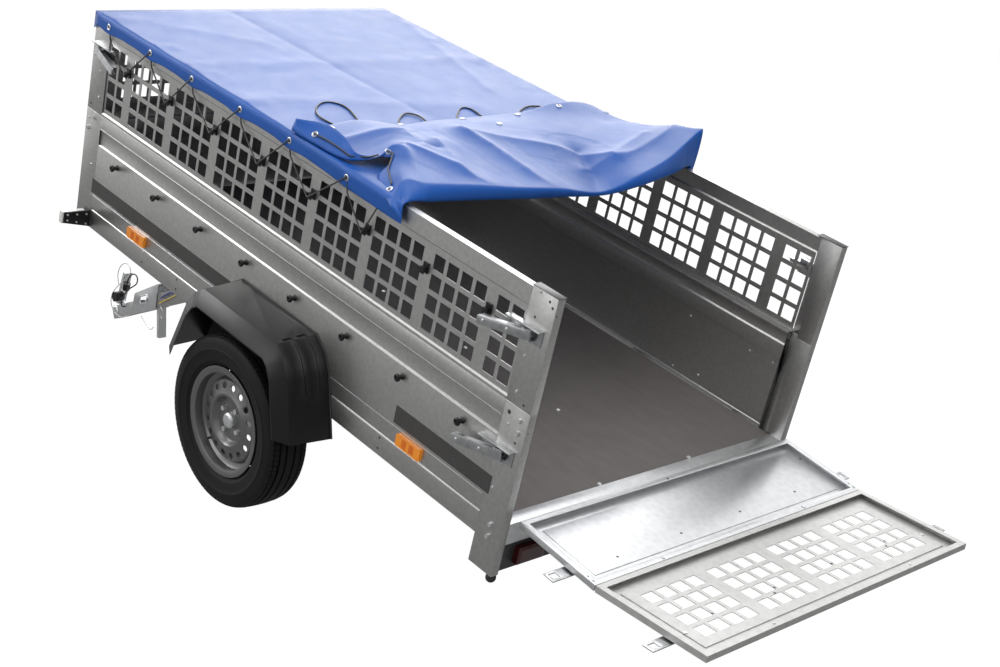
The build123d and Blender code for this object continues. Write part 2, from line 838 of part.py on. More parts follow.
def mesh_hooks():
    # Base plate on the mesh, a tongue standing out from it, and the tongue's tip turned down
    hooks = []
    face = wall_y - mesh_grooves[0][2]
    base_width, base_height, base_depth = hook_base
    width, thickness, reach = hook_tongue
    for x in hook_rows:
        base = block(x - base_width / 2, x + base_width / 2, face, face + base_depth,
                     hook_z - base_height / 2, hook_z + base_height / 2)
        tongue = block(x - width / 2, x + width / 2, face + base_depth, face + reach,
                       hook_z - thickness / 2, hook_z + thickness / 2)
        tip = block(x - width / 2, x + width / 2, face + reach - base_depth, face + reach,
                    hook_z - hook_tip, hook_z)
        hooks += both_sides(joined([base, tongue, tip]))
    return hooks


def side_markers():
    markers = []
    for x in marker_rows:
        body = block(x - marker_length / 2, x + marker_length / 2, wall_y, wall_y + marker_depth,
                     marker_z - marker_height / 2, marker_z + marker_height / 2)
        markers += both_sides(fillet(body.edges().filter_by(Axis.Y), marker_edge))
    return markers


def latches():
    # Toggle latches hanging open: a flanged plate, a clevis with its pin, and a channel lever
    plates, levers = [], []
    front = latch_plate_x + latch_plate_length
    half = latch_lever_height / 2
    inner = half + seat_gap
    out = wall_y + latch_stand_off
    for z in latch_rows:
        low, high = z - latch_plate_height / 2, z + latch_plate_height / 2
        plate = block(latch_plate_x, front, wall_y, wall_y + latch_sheet, low, high)
        flange_strip = block(latch_plate_x, front, wall_y, wall_y + latch_flange, high - latch_sheet, high)
        place = Pos(latch_pin_x, out, z) * Rot(0, latch_drop, 0)
        reach = latch_clevis_length / 2
        cheek = block(-reach, reach, -latch_stand_off, latch_lever_depth, inner, inner + latch_sheet)
        lower_cheek = block(-reach, reach, -latch_stand_off, latch_lever_depth, -inner - latch_sheet, -inner)
        pin = Cylinder(latch_pin_radius, 2 * (inner + latch_sheet))
        clevis = joined([cheek, pin, lower_cheek])
        plates += both_sides(joined([plate, flange_strip, place * clevis]))
        end = latch_lever - half
        web = block(-half, end, latch_lever_depth - latch_lever_sheet, latch_lever_depth, -half, half)
        web = fillet(web.edges().filter_by(Axis.Y).group_by(Axis.X)[-1], latch_lever_depth)
        side = block(-half, end - latch_lever_depth, -latch_lever_depth, latch_lever_depth,
                     half - latch_lever_sheet, half)
        lower_side = block(-half, end - latch_lever_depth, -latch_lever_depth, latch_lever_depth,
                           -half, latch_lever_sheet - half)
        lever = joined([side, web, lower_side]) - Cylinder(latch_pin_radius + running_gap, 2 * half)
        levers += both_sides(place * Rot(0, 0, latch_swing) * lever)
    return plates, levers


def lamp_brackets():
    x0 = lamp_bracket_x
    outer = wall_y + lamp_bracket_reach
    low = lamp_bracket_top - lamp_bracket_root
    outline = [(wall_y, lamp_bracket_top), (outer, lamp_bracket_top), (outer, lamp_bracket_top - lamp_bracket_end),
               (wall_y, low)]
    plate = extrude(make_face(Polyline(*[(x0, y, z) for y, z in outline], close=True)),
                    amount=lamp_bracket_sheet, dir=(1, 0, 0))
    foot = block(x0, x0 + lamp_bracket_foot, wall_y, wall_y + lamp_bracket_sheet, low, lamp_bracket_top)
    return both_sides(plate + foot)


def lamp_lenses():
    x0 = lamp_bracket_x + lamp_bracket_sheet
    outer = wall_y + lamp_bracket_reach
    top = lamp_bracket_top + lamp_lens_up
    lens = block(x0, x0 + lamp_lens_depth, outer - lamp_lens_length, outer + lamp_lens_out,
                 top - lamp_lens_height, top)
    lens = fillet(lens.edges().group_by(Axis.X)[-1], lamp_lens_edge)
    return both_sides(lens)


def cover_top():
    half = wall_y + cover_overhang
    return block(cover_rear, bed_length + cover_overhang, -half, half, cover_z, cover_z + cover_sheet)


def cover_skirts():
    half = wall_y + cover_overhang
    side = block(cover_rear, bed_length + cover_overhang, half, half + cover_sheet,
                 cover_z - skirt_depth, cover_z + cover_sheet)
    front = block(bed_length + cover_overhang, bed_length + cover_overhang + cover_sheet, -half, half,
                  cover_z - skirt_depth, cover_z + cover_sheet)
    return both_sides(side) + [front]


def fold_section(row, inset):
    across, rear, front, behind, halfway, hem = row
    base = cover_z + cover_sheet + seat_gap + inset
    points = [(rear + inset, 0), (rear + inset, behind - 2 * inset), ((rear + front) / 2, halfway - 2 * inset),
              (front - inset, max(hem - 2 * inset, 1)), (front - inset, 0)]
    return make_face(Polyline(*[(x, across, base + z) for x, z in points], close=True))


def cover_fold():
    # The laid-back end as a slack bag of cloth, open at both sides
    outside = loft([fold_section(row, 0) for row in fold_sections], ruled=True)
    first, last = fold_sections[0], fold_sections[-1]
    rows = [(first[0] + fold_sheet,) + first[1:]] + fold_sections[1:-1] + [(last[0] - fold_sheet,) + last[1:]]
    return outside - loft([fold_section(row, fold_sheet) for row in rows], ruled=True)


def cover_cord(route):
    base = cover_z + cover_sheet
    return cord_tube([(x, y, base + z) for x, y, z in route], cover_cord_diameter)


latch_plates, latch_levers = latches()
side_board = side_wall(board_top, board_bottom, board_grooves)
side_mesh_panel = side_mesh()
fender_shell = fender()
wheel_pieces = {"tyre": tyre(), "rim": rim(), "hub": hub()}

pieces = {
    "floor_panel": floor_panel(),
    "side_board_left": side_board,
    "side_board_right": other_side(side_board),
    "front_board": front_wall(board_top, board_bottom, board_grooves),
    "side_mesh_left": side_mesh_panel,
    "side_mesh_right": other_side(side_mesh_panel),
    "front_mesh": front_mesh(),
    "corner_posts": corner_posts(),
    "mesh_posts": mesh_posts(),
    "post_caps": post_caps(),
    "rear_sill": rear_sill(),
    "cross_members": cross_members(),
    "lamp_board": lamp_board(),
    "rear_lamps": rear_lamps(),
    "stoppers": stoppers(),
    "axle_beam": axle_beam(),
    "axle_brackets": axle_brackets(),
    "axle_arms": axle_arms(),
    "fender_left": fender_shell,
    "fender_right": other_side(fender_shell),
    "side_markers": side_markers(),
    "rope_buttons": rope_buttons(),
    "mesh_hooks": mesh_hooks(),
    "latch_plates": latch_plates,
    "latch_levers": latch_levers,
    "lamp_brackets": lamp_brackets(),
    "lamp_lenses": lamp_lenses(),
    "pivot_ears": pivot_ears(),
    "lock_ears": lock_ears(),
    "gate_hinges": hinge_set(hinge_x, hinge_z, hinge_rows, knuckle_radius, sill_foot),
    "cover_top": cover_top(),
    "cover_skirts": cover_skirts(),
    "cover_fold": cover_fold(),
    "drawbar_beam": drawbar_beam(),
    "drawbar_nose": drawbar_nose(),
    "coupling_body": coupling_body(),
    "coupling_handle": coupling_handle(),
    "coupling_socket": coupling_socket(),
    "prop_leg": prop_leg(),
    "lead_cable": on_nose(cord_tube(lead_route, lead_diameter)),
    "lead_plug": lead_plug(),
    "breakaway_cable": on_nose(cord_tube(breakaway_route, breakaway_diameter)),
    "gate_leaf": gate_leaf(),
    "gate_keepers": [opened(k) for k in both_sides(keeper(lower_keeper_z))],
    "gate_knuckles": [opened(k) for k in
                      knuckle_set(hinge_x, hinge_z, hinge_rows, knuckle_radius, gate_knuckle_foot)],
    "flap_hinges": [opened(k) for k in
                    hinge_set(flap_hinge_x, flap_hinge_z, flap_hinge_rows, flap_knuckle_radius, leaf_foot)],
    "flap_panel": flap_panel(),
    "flap_keepers": [bent(k) for k in both_sides(keeper(upper_keeper_z))],
    "flap_knuckles": [bent(k) for k in
                      knuckle_set(flap_hinge_x, flap_hinge_z, flap_hinge_rows, flap_knuckle_radius, flap_foot)],
}
for name, route in cover_cords.items():
    pieces[name] = cover_cord(route)
for name, shape in wheel_pieces.items():
    pieces[name + "_left"] = shape
    pieces[name + "_right"] = other_side(shape)


def solids_of(piece):
    shapes = piece if isinstance(piece, list) else [piece]
    return [solid for shape in shapes for solid in shape.solids()]


# Tips the bed back on its stoppers and stands it on the ground, centred on its box without the cords
tipped = {node: Rot(0, -tip_angle(), 0) * Compound(solids_of(piece)) for node, piece in pieces.items()}
cord_pieces = ["lead_cable", "lead_plug", "breakaway_cable"] + list(cover_cords)
box = Compound([shape for node, shape in tipped.items() if node not in cord_pieces]).bounding_box()
stand = Pos(-(box.min.X + box.max.X) / 2, 0, -box.min.Z)
placed = {node: stand * shape for node, shape in tipped.items()}

os.makedirs("parts", exist_ok=True)
for node, shape in placed.items():
    solids = shape.solids()
    export_step(solids[0] if len(solids) == 1 else Compound(solids), f"parts/{node}.step")

print(f"tip {tip_angle():.2f} deg, flap bend {flap_angle():.2f} deg, {len(placed)} nodes")
print(f"size {box.size.X:.0f} x {box.size.Y:.0f} x {box.size.Z:.0f} mm")
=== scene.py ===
import bpy
import bmesh
import json
from collections import defaultdict
from math import atan2, cos, exp, pi, radians, sin
from mathutils import Matrix, Vector
from mathutils.bvhtree import BVHTree

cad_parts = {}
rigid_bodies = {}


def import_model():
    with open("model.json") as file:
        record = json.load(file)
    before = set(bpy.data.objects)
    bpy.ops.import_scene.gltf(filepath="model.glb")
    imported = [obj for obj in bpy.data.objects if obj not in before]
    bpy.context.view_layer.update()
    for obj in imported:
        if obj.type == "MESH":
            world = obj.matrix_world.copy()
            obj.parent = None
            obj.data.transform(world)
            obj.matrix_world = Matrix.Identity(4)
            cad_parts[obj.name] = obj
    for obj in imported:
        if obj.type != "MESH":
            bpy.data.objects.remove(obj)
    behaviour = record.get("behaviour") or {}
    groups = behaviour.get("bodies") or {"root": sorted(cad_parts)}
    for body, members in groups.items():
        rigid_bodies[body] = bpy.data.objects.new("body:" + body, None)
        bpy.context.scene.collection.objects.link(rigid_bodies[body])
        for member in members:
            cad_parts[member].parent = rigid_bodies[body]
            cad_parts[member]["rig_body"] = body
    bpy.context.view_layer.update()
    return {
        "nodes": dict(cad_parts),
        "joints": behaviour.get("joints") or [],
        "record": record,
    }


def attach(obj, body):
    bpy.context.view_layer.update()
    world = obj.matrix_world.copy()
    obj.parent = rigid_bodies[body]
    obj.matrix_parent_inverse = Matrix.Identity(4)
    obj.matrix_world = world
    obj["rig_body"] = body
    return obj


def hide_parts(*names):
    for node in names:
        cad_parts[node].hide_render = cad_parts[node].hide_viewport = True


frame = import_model()
nodes = frame["nodes"]
scene = bpy.context.scene
print("frame loaded:", len(nodes), "nodes")

# The bed has its own frame: x forward from the rear posts, y to the left, z up from the load floor.
bedMarks = {"gateHinge": Vector((-0.009, 0, -0.006)), "flapHinge": Vector((-0.004, 0, 0.321)),
            "drawbarPivot": Vector((1.839, 0, -0.113)), "drawbarReach": 1.075}
openAngles = {"gate": 93.2, "flap": 8.62, "drawbar": 32.4}  # degrees, as parked
jointAt = {joint["name"]: Vector(joint["pos_m"]) for joint in frame["joints"]}


def turnedAbout(point, degrees):
    return Matrix.Translation(point) @ Matrix.Rotation(radians(degrees), 4, "Y") @ Matrix.Translation(-point)


def findBed():
    drawn = bedMarks["drawbarPivot"] - bedMarks["gateHinge"]
    parked = jointAt["drawbar_tip"] - jointAt["tailgate_hinge"]
    tip = atan2(parked.z, parked.x) - atan2(drawn.z, drawn.x)
    turn = Matrix.Rotation(-tip, 4, "Y")
    return Matrix.Translation(jointAt["tailgate_hinge"] - turn @ bedMarks["gateHinge"]) @ turn


bedToRow = findBed()
gateToRow = bedToRow @ turnedAbout(bedMarks["gateHinge"], -openAngles["gate"])
flapToRow = gateToRow @ turnedAbout(bedMarks["flapHinge"], openAngles["flap"])
noseToRow = (bedToRow @ Matrix.Translation(bedMarks["drawbarPivot"])
             @ Matrix.Rotation(radians(openAngles["drawbar"]), 4, "Y")
             @ Matrix.Translation(Vector((bedMarks["drawbarReach"], 0, 0))))

# camera, fitted to the bed's edges
camera = {"eye": (-2.5198, 3.61166, 2.32262), "right": (-0.65732, -0.7248, 0.20638),
          "down": (-0.43644, 0.14287, -0.88832), "ahead": (0.61437, -0.67398, -0.41024),
          "focalPixels": 1606.62, "frameWidth": 1000, "sensor": 36}


def placeCamera():
    lens = bpy.data.cameras.new("camera")
    lens.sensor_fit = "HORIZONTAL"
    lens.sensor_width = camera["sensor"]
    lens.lens = camera["focalPixels"] / camera["frameWidth"] * camera["sensor"]
    holder = bpy.data.objects.new("camera", lens)
    scene.collection.objects.link(holder)
    axes = (Vector(camera["right"]), -Vector(camera["down"]), -Vector(camera["ahead"]), Vector(camera["eye"]))
    pose = Matrix([[axis[row] for axis in axes] for row in range(3)] + [[0, 0, 0, 1]])
    holder.matrix_world = bedToRow @ pose
    scene.camera = holder


placeCamera()

# studio: white floor and world; what mirrors see is bright towards the front right and dim elsewhere
studio = {"floorSize": 60, "floorWhite": 0.9, "floorGlow": 1.1, "shadowShare": 0.10, "worldLight": 0.31,
          "mirrored": {"floor": 0.30, "dim": 0.37, "bright": 1.3, "towards": (0.55, -0.52, 0.65),
                       "from": -0.1, "to": 0.8},
          "lamps": [  # name, place, aim, size, power, lights matt surfaces too
              ("overheadLamp", (-1.2, 0.6, 5.2), (0, 0, 0.5), 4.0, 140, True),
              ("rearLamp", (-5.0, 1.5, 3.2), (0, 0, 0.4), 3.0, 70, True),
              ("sideLamp", (0.8, 5.5, 2.4), (0, 0, 0.6), 3.0, 70, True),
              ("veilLamp", (3.7, -4.1, 4.8), (0.2, 0, 1.0), 5.0, 250, False),
              ("edgeLamp", (4.5, 2.8, 4.5), (0, 0.5, 0.8), 3.0, 150, False)]}


def nodeIn(tree, kind, **values):
    made = tree.nodes.new(kind)
    for key, value in values.items():
        if key in made.inputs:
            made.inputs[key].default_value = value
        else:
            setattr(made, key, value)
    return made


def mixed(tree, share, first, second):
    mix = tree.nodes.new("ShaderNodeMixShader")
    if isinstance(share, float):
        mix.inputs[0].default_value = share
    else:
        tree.links.new(share, mix.inputs[0])
    tree.links.new(first.outputs[0], mix.inputs[1])
    tree.links.new(second.outputs[0], mix.inputs[2])
    return mix


# white where the camera looks, plain light for matt surfaces, and what mirrors see besides
def bySight(tree, matt, seen, mirrored):
    path = tree.nodes.new("ShaderNodeLightPath")
    shader = matt
    for ray, other in (("Is Glossy Ray", mirrored), ("Is Transmission Ray", mirrored), ("Is Camera Ray", seen)):
        shader = mixed(tree, path.outputs[ray], shader, other)
    return shader


def buildWorld():
    world = bpy.data.worlds.new("studio")
    scene.world = world
    world.use_nodes = True
    tree = world.node_tree
    tree.nodes.clear()
    skies = [nodeIn(tree, "ShaderNodeBackground", Strength=strength, Color=(1, 1, 1, 1))
             for strength in (studio["worldLight"], 1.0, 1.0)]
    place = tree.nodes.new("ShaderNodeTexCoord")
    mirrored = studio["mirrored"]
    towards = nodeIn(tree, "ShaderNodeVectorMath", operation="DOT_PRODUCT")
    tree.links.new(place.outputs["Generated"], towards.inputs[0])
    towards.inputs[1].default_value = mirrored["towards"]
    span = tree.nodes.new("ShaderNodeMapRange")
    for socket, key in (("From Min", "from"), ("From Max", "to"), ("To Min", "dim"), ("To Max", "bright")):
        span.inputs[socket].default_value = mirrored[key]
    tree.links.new(towards.outputs["Value"], span.inputs["Value"])
    tree.links.new(span.outputs["Result"], skies[2].inputs["Strength"])
    out = tree.nodes.new("ShaderNodeOutputWorld")
    tree.links.new(bySight(tree, *skies).outputs[0], out.inputs[0])


def buildFloor():
    bm = bmesh.new()
    bmesh.ops.create_grid(bm, x_segments=1, y_segments=1, size=studio["floorSize"] / 2)
    mesh = bpy.data.meshes.new("floor")
    bm.to_mesh(mesh)
    bm.free()
    paint = bpy.data.materials.new("floorWhite")
    paint.use_nodes = True
    tree = paint.node_tree
    tree.nodes.clear()
    matt = nodeIn(tree, "ShaderNodeBsdfDiffuse", Color=(*[studio["floorWhite"]] * 3, 1))
    glow = nodeIn(tree, "ShaderNodeEmission", Strength=studio["floorGlow"])
    dim = nodeIn(tree, "ShaderNodeEmission", Strength=studio["mirrored"]["floor"])
    seen = mixed(tree, 1 - studio["shadowShare"], matt, glow)
    side = tree.nodes.new("ShaderNodeNewGeometry")
    clear = tree.nodes.new("ShaderNodeBsdfTransparent")  # from below, so that the underside can be seen
    whole = mixed(tree, side.outputs["Backfacing"], bySight(tree, matt, seen, dim), clear)
    out = tree.nodes.new("ShaderNodeOutputMaterial")
    tree.links.new(whole.outputs[0], out.inputs[0])
    mesh.materials.append(paint)
    floor = bpy.data.objects.new("floor", mesh)
    scene.collection.objects.link(floor)


def hangLamps():
    for name, place, aim, size, power, onMatt in studio["lamps"]:
        lamp = bpy.data.lights.new(name, "AREA")
        lamp.size = size
        lamp.energy = power
        holder = bpy.data.objects.new(name, lamp)
        holder.location = place
        holder.rotation_euler = (Vector(aim) - Vector(place)).to_track_quat("-Z", "Y").to_euler()
        holder.visible_diffuse = onMatt
        scene.collection.objects.link(holder)


buildWorld()
buildFloor()
hangLamps()
scene.view_settings.view_transform = "Standard"
print("camera and studio set")


# finishes: each is a plain surface, changed by procedural patterns
def spread(tree, scale, stretch=(1, 1, 1), turn=(0, 0, 0), kind="ShaderNodeTexNoise", source="Object", **values):
    place = tree.nodes.new("ShaderNodeTexCoord")
    mapping = nodeIn(tree, "ShaderNodeMapping", Scale=stretch, Rotation=turn)
    pattern = nodeIn(tree, kind, Scale=scale, **values)
    tree.links.new(place.outputs[source], mapping.inputs["Vector"])
    tree.links.new(mapping.outputs["Vector"], pattern.inputs["Vector"])
    return pattern.outputs["Distance" if "Distance" in pattern.outputs else "Fac"]


def mottle(tree, shader, pattern, dark, light, low=0.3, high=0.7):
    ramp = tree.nodes.new("ShaderNodeValToRGB")
    for stop, place, color in zip(ramp.color_ramp.elements, (low, high), (dark, light)):
        stop.position = place
        stop.color = (*color, 1)
    tree.links.new(pattern, ramp.inputs["Fac"])
    tree.links.new(ramp.outputs["Color"], shader.inputs["Base Color"])


def vary(tree, shader, pattern, low, high):
    span = tree.nodes.new("ShaderNodeMapRange")
    span.inputs["To Min"].default_value = low
    span.inputs["To Max"].default_value = high
    tree.links.new(pattern, span.inputs["Value"])
    tree.links.new(span.outputs["Result"], shader.inputs["Roughness"])


def emboss(tree, shader, pattern, strength, distance):
    bump = nodeIn(tree, "ShaderNodeBump", Strength=strength, Distance=distance)
    tree.links.new(pattern, bump.inputs["Height"])
    earlier = shader.inputs["Normal"].links
    if earlier:
        tree.links.new(earlier[0].from_socket, bump.inputs["Normal"])
    tree.links.new(bump.outputs["Normal"], shader.inputs["Normal"])


cells, waves = {"kind": "ShaderNodeTexVoronoi"}, {"kind": "ShaderNodeTexWave"}
cloud, grain = {"Detail": 4.0}, {"Detail": 3.0}
dust, speckle = {"Detail": 5.0}, {"Detail": 2.0}
brushed, smear = {"stretch": (0.06, 1, 1), "Detail": 4.0}, {"stretch": (1, 0.3, 1), "Detail": 5.0}
fibre, strands = {"stretch": (0.25, 1, 1), "Detail": 6.0}, {**waves, "turn": (0.6, 0.3, 0.5)}
warp = {**waves, "source": "UV", "Distortion": 0.4}
weft = {**warp, "bands_direction": "Y"}
prisms = {**cells, "turn": (0, 0, 0.785), "distance": "CHEBYCHEV", "Randomness": 0.0}
coated, gloss = {"Coat Weight": 0.5, "Coat Roughness": 0.06}, "Specular IOR Level"
finishTable = {  # color, roughness, metallic, other inputs, changes with their scale, pattern and values
    "galvanised": ((0.47, 0.468, 0.46), 0.36, 0.95, {}, [
        (mottle, 70, cells, (0.44, 0.438, 0.43), (0.50, 0.498, 0.49), 0.1, 0.8),
        (vary, 420, brushed, 0.30, 0.46), (emboss, 420, brushed, 0.12, 0.0006)]),
    "bright_zinc": ((0.67, 0.68, 0.69), 0.36, 0.9, {}, [
        (mottle, 45, cells, (0.63, 0.64, 0.65), (0.71, 0.72, 0.73), 0.1, 0.8),
        (vary, 9, smear, 0.24, 0.48), (emboss, 14, speckle, 0.10, 0.003)]),
    "latch_zinc": ((0.46, 0.47, 0.48), 0.28, 1.0, {}, [
        (mottle, 45, cells, (0.40, 0.41, 0.42), (0.54, 0.55, 0.56), 0.1, 0.8), (vary, 9, smear, 0.2, 0.36)]),
    "flap_zinc": ((0.54, 0.54, 0.53), 0.55, 0.9, {}, [
        (mottle, 45, cells, (0.51, 0.51, 0.50), (0.57, 0.57, 0.56), 0.1, 0.8), (vary, 9, smear, 0.5, 0.62)]),
    "plywood": ((0.115, 0.104, 0.100), 0.6, 0, {}, [
        (mottle, 30, fibre, (0.100, 0.091, 0.087), (0.132, 0.119, 0.114), 0.25, 0.75),
        (vary, 30, fibre, 0.56, 0.70), (emboss, 700, cells, 0.08, 0.0006)]),
    "black_plastic": ((0.004, 0.004, 0.0042), 0.34, 0, {gloss: 0.42}, [
        (mottle, 18, cloud, (0.0035, 0.0035, 0.0037), (0.0048, 0.0048, 0.005)),
        (vary, 900, grain, 0.30, 0.42), (emboss, 900, grain, 0.25, 0.0006)]),
    "rubber": ((0.02, 0.02, 0.02), 0.7, 0, {}, [
        (mottle, 25, grain, (0.016, 0.016, 0.016), (0.026, 0.025, 0.025)), (emboss, 400, grain, 0.2, 0.0006)]),
    "tyre": ((0.005, 0.005, 0.0053), 0.62, 0, {gloss: 0.22}, [
        (mottle, 12, dust, (0.0045, 0.0045, 0.0048), (0.007, 0.007, 0.007)),
        (vary, 12, dust, 0.52, 0.74), (emboss, 700, speckle, 0.15, 0.0005)]),
    "silver_rim": ((0.17, 0.17, 0.173), 0.34, 0.75, {}, [
        (mottle, 1200, cells, (0.155, 0.155, 0.158), (0.19, 0.19, 0.193), 0.1, 0.8),
        (vary, 20, cloud, 0.28, 0.42)]),
    "dark_steel": ((0.05, 0.05, 0.055), 0.42, 0.4, {}, [
        (mottle, 30, cloud, (0.04, 0.04, 0.044), (0.065, 0.065, 0.07)), (emboss, 500, grain, 0.12, 0.0005)]),
    "tarpaulin": ((0.006, 0.078, 0.35), 0.40, 0, {gloss: 0.3}, [
        (mottle, 5, grain, (0.0055, 0.073, 0.33), (0.0065, 0.083, 0.37)), (vary, 14, cloud, 0.33, 0.47),
        (emboss, 420, warp, 0.08, 0.0005), (emboss, 420, weft, 0.08, 0.0005)]),
    "cable": ((0.015, 0.015, 0.015), 0.45, 0, {}, [
        (mottle, 900, cells, (0.011, 0.011, 0.011), (0.022, 0.022, 0.022), 0.1, 0.8),
        (emboss, 900, cells, 0.3, 0.0006)]),
    "pale_cable": ((0.6, 0.6, 0.58), 0.25, 0.3, {"Coat Weight": 0.6}, [
        (mottle, 700, strands, (0.5, 0.5, 0.49), (0.68, 0.68, 0.66)), (emboss, 700, strands, 0.3, 0.0005)])}
lenses = {  # color of the prisms' middles and edges
    "amber": ((0.9, 0.3, 0.01), (0.72, 0.2, 0.005)), "clear_lens": ((0.75, 0.75, 0.72), (0.6, 0.6, 0.58)),
    # red_lens is kept near black as painted shade: the rear lamp sits in the shadow under the gate
    "red_lens": ((0.05, 0.002, 0.002), (0.03, 0.0015, 0.0015))}
plains = {  # color, roughness
    "dark_strip": ((0.045, 0.043, 0.042), 0.4), "amber_cell": ((0.62, 0.13, 0.004), 0.2),
    "blue_wire": ((0.01, 0.03, 0.25), 0.4), "yellow_wire": ((0.75, 0.55, 0.10), 0.4)}
for name, (color, edge) in lenses.items():
    finishTable[name] = (color, 0.18, 0, coated, [
        (mottle, 260, prisms, color, edge, 0.2, 0.75), (emboss, 260, prisms, 0.35, 0.001)])
for name, (color, rough) in plains.items():
    worn = [tuple(share * part for part in color) for share in (0.9, 1.1)]
    finishTable[name] = (color, rough, 0, {}, [(mottle, 40, cloud, *worn)])


def makeFinish(name, color, roughness, metallic, others, changes):
    finish = bpy.data.materials.new(name)
    finish.use_nodes = True
    tree = finish.node_tree
    shader = tree.nodes["Principled BSDF"]
    values = {"Base Color": (*color, 1), "Roughness": roughness, "Metallic": metallic, **others}
    for socket, value in values.items():
        shader.inputs[socket].default_value = value
    for change, scale, look, *amounts in changes:
        change(tree, shader, spread(tree, scale, **look), *amounts)
    return finish


finishes = {name: makeFinish(name, *row) for name, row in finishTable.items()}
slotOf = {row["node"]: row["material_slot"] for row in frame["record"]["subparts"]}
latches = ("latch_plates", "latch_levers", "gate_keepers", "flap_keepers")
finishOf = {**slotOf, **dict.fromkeys(latches, "latch_zinc"), "flap_panel": "flap_zinc"}
for node, holder in nodes.items():
    holder.data.materials.clear()
    holder.data.materials.append(finishes[finishOf[node]])
print("finishes made:", len(finishes))

mergeWithin = 1e-5  # metres


def makePiece(name, bm, finish, body, smooth=35):
    mesh = bpy.data.meshes.new(name)
    bm.to_mesh(mesh)
    bm.free()
    mesh.materials.append(finishes[finish])
    mesh.shade_smooth()
    mesh.set_sharp_from_angle(angle=radians(smooth))
    piece = bpy.data.objects.new(name, mesh)
    scene.collection.objects.link(piece)
    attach(piece, body)
    return piece


# a merged copy of a solid with its edges rounded, so that they catch the light
def softenNode(node, width, segments=2, least=25, flat=0.3):
    bm = bmesh.new()
    bm.from_mesh(nodes[node].data)
    bmesh.ops.remove_doubles(bm, verts=bm.verts, dist=mergeWithin)
    bmesh.ops.dissolve_limit(bm, angle_limit=radians(flat), verts=bm.verts, edges=bm.edges)
    sharp = [edge for edge in bm.edges if edge.is_manifold and edge.calc_face_angle(0) > radians(least)]
    bmesh.ops.bevel(bm, geom=sharp, offset=width, offset_type="OFFSET", segments=segments, profile=0.5,
                    affect="EDGES", material=-1, clamp_overlap=True)
    piece = makePiece(node + "_soft", bm, finishOf[node], nodes[node]["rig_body"])
    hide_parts(node)


# cords, on the routes of their solids
noseCords = {
    "lead": {
        "node": "lead_cable", "diameter": 0.006, "length": 0.315, "finish": "cable", "farEnd": "plug",
        "route": [
            (0.237, 0.0306, 0.010), (0.237, 0.046, 0.010), (0.230, 0.050, 0.028), (0.213, 0.046, 0.050),
            (0.187, 0.040, 0.070), (0.161, 0.035, 0.081), (0.139, 0.030, 0.086), (0.113, 0.026, 0.092),
            (0.101, 0.023, 0.112), (0.111, 0.021, 0.132), (0.135, 0.020, 0.140), (0.163, 0.020, 0.136),
            (0.187, 0.020, 0.124), (0.201, 0.020, 0.108)]},
    "breakaway": {
        "node": "breakaway_cable", "diameter": 0.004, "length": 0.611, "finish": "pale_cable", "farEnd": "object",
        "route": [
            (0.187, 0.0363, -0.029), (0.228, 0.046, -0.038), (0.270, 0.046, -0.032), (0.310, 0.046, -0.008),
            (0.331, 0.046, 0.038), (0.301, 0.046, 0.080), (0.245, 0.041, 0.106), (0.195, 0.035, 0.121),
            (0.157, 0.030, 0.133), (0.137, 0.027, 0.155), (0.145, 0.026, 0.180), (0.171, 0.026, 0.194),
            (0.210, 0.026, 0.192), (0.245, 0.026, 0.172), (0.267, 0.025, 0.140), (0.271, 0.022, 0.108)]}}
coverTop = 0.7115
coverCords = {  # routes: x and y on the bed
    "left": {"length": 0.473, "route": [
        (1.236, 0.470), (1.262, 0.478), (1.296, 0.482), (1.332, 0.472), (1.366, 0.450), (1.398, 0.420),
        (1.422, 0.384), (1.424, 0.350), (1.400, 0.326), (1.364, 0.322), (1.324, 0.334), (1.284, 0.350),
        (1.246, 0.362), (1.224, 0.368)]},
    "middle": {"length": 0.248, "route": [
        (1.196, 0.240), (1.222, 0.218), (1.252, 0.188), (1.276, 0.158), (1.288, 0.128), (1.272, 0.106),
        (1.244, 0.102), (1.218, 0.106), (1.196, 0.112)]},
    "right": {"length": 0.279, "route": [
        (1.198, -0.016), (1.226, -0.040), (1.258, -0.074), (1.292, -0.110), (1.306, -0.140), (1.288, -0.160),
        (1.258, -0.158), (1.228, -0.152), (1.198, -0.150)]},
    "far": {"length": 0.285, "route": [
        (1.200, -0.300), (1.228, -0.336), (1.256, -0.376), (1.276, -0.420), (1.276, -0.464), (1.254, -0.496),
        (1.228, -0.514), (1.200, -0.524)]}}
coverCordDiameter = 0.006
coverCordRise = (0.0035, 0.005, 0.006)  # above the cover at an end, next to it and beyond


# a round cord along a route, with soft bends if it hangs free
def layCord(name, route, toRow, radius, finish, body, soft=False, closed=False):
    curve = bpy.data.curves.new(name, "CURVE")
    curve.dimensions = "3D"
    spline = curve.splines.new("NURBS" if soft else "POLY")
    spline.points.add(len(route) - 1)
    for point, place in zip(spline.points, route):
        point.co = (*(toRow @ Vector(place)), 1)
    if soft:
        spline.order_u = 3
        spline.use_endpoint_u = True
        spline.resolution_u = 8
    spline.use_cyclic_u = closed
    curve.bevel_depth = radius
    curve.bevel_resolution = 3 if soft else 2
    curve.use_fill_caps = True
    curve.materials.append(finishes[finish])
    cord = bpy.data.objects.new(name, curve)
    scene.collection.objects.link(cord)
    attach(cord, body)
    return cord


def layCords():
    for name, facts in noseCords.items():
        cord = layCord(name + "_cord", facts["route"], noseToRow, facts["diameter"] / 2, facts["finish"], "drawbar",
                       soft=True)
        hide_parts(facts["node"])
    for name, facts in coverCords.items():
        last = len(facts["route"]) - 1
        route = [(x, y, coverTop + coverCordRise[min(place, last - place, 2)])
                 for place, (x, y) in enumerate(facts["route"])]
        cord = layCord("cover_loop_" + name, route, bedToRow, coverCordDiameter / 2, "cable", "chassis", soft=True)
        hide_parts("cover_cord_" + name)


layCords()
print("cords laid:", len(noseCords) + len(coverCords))

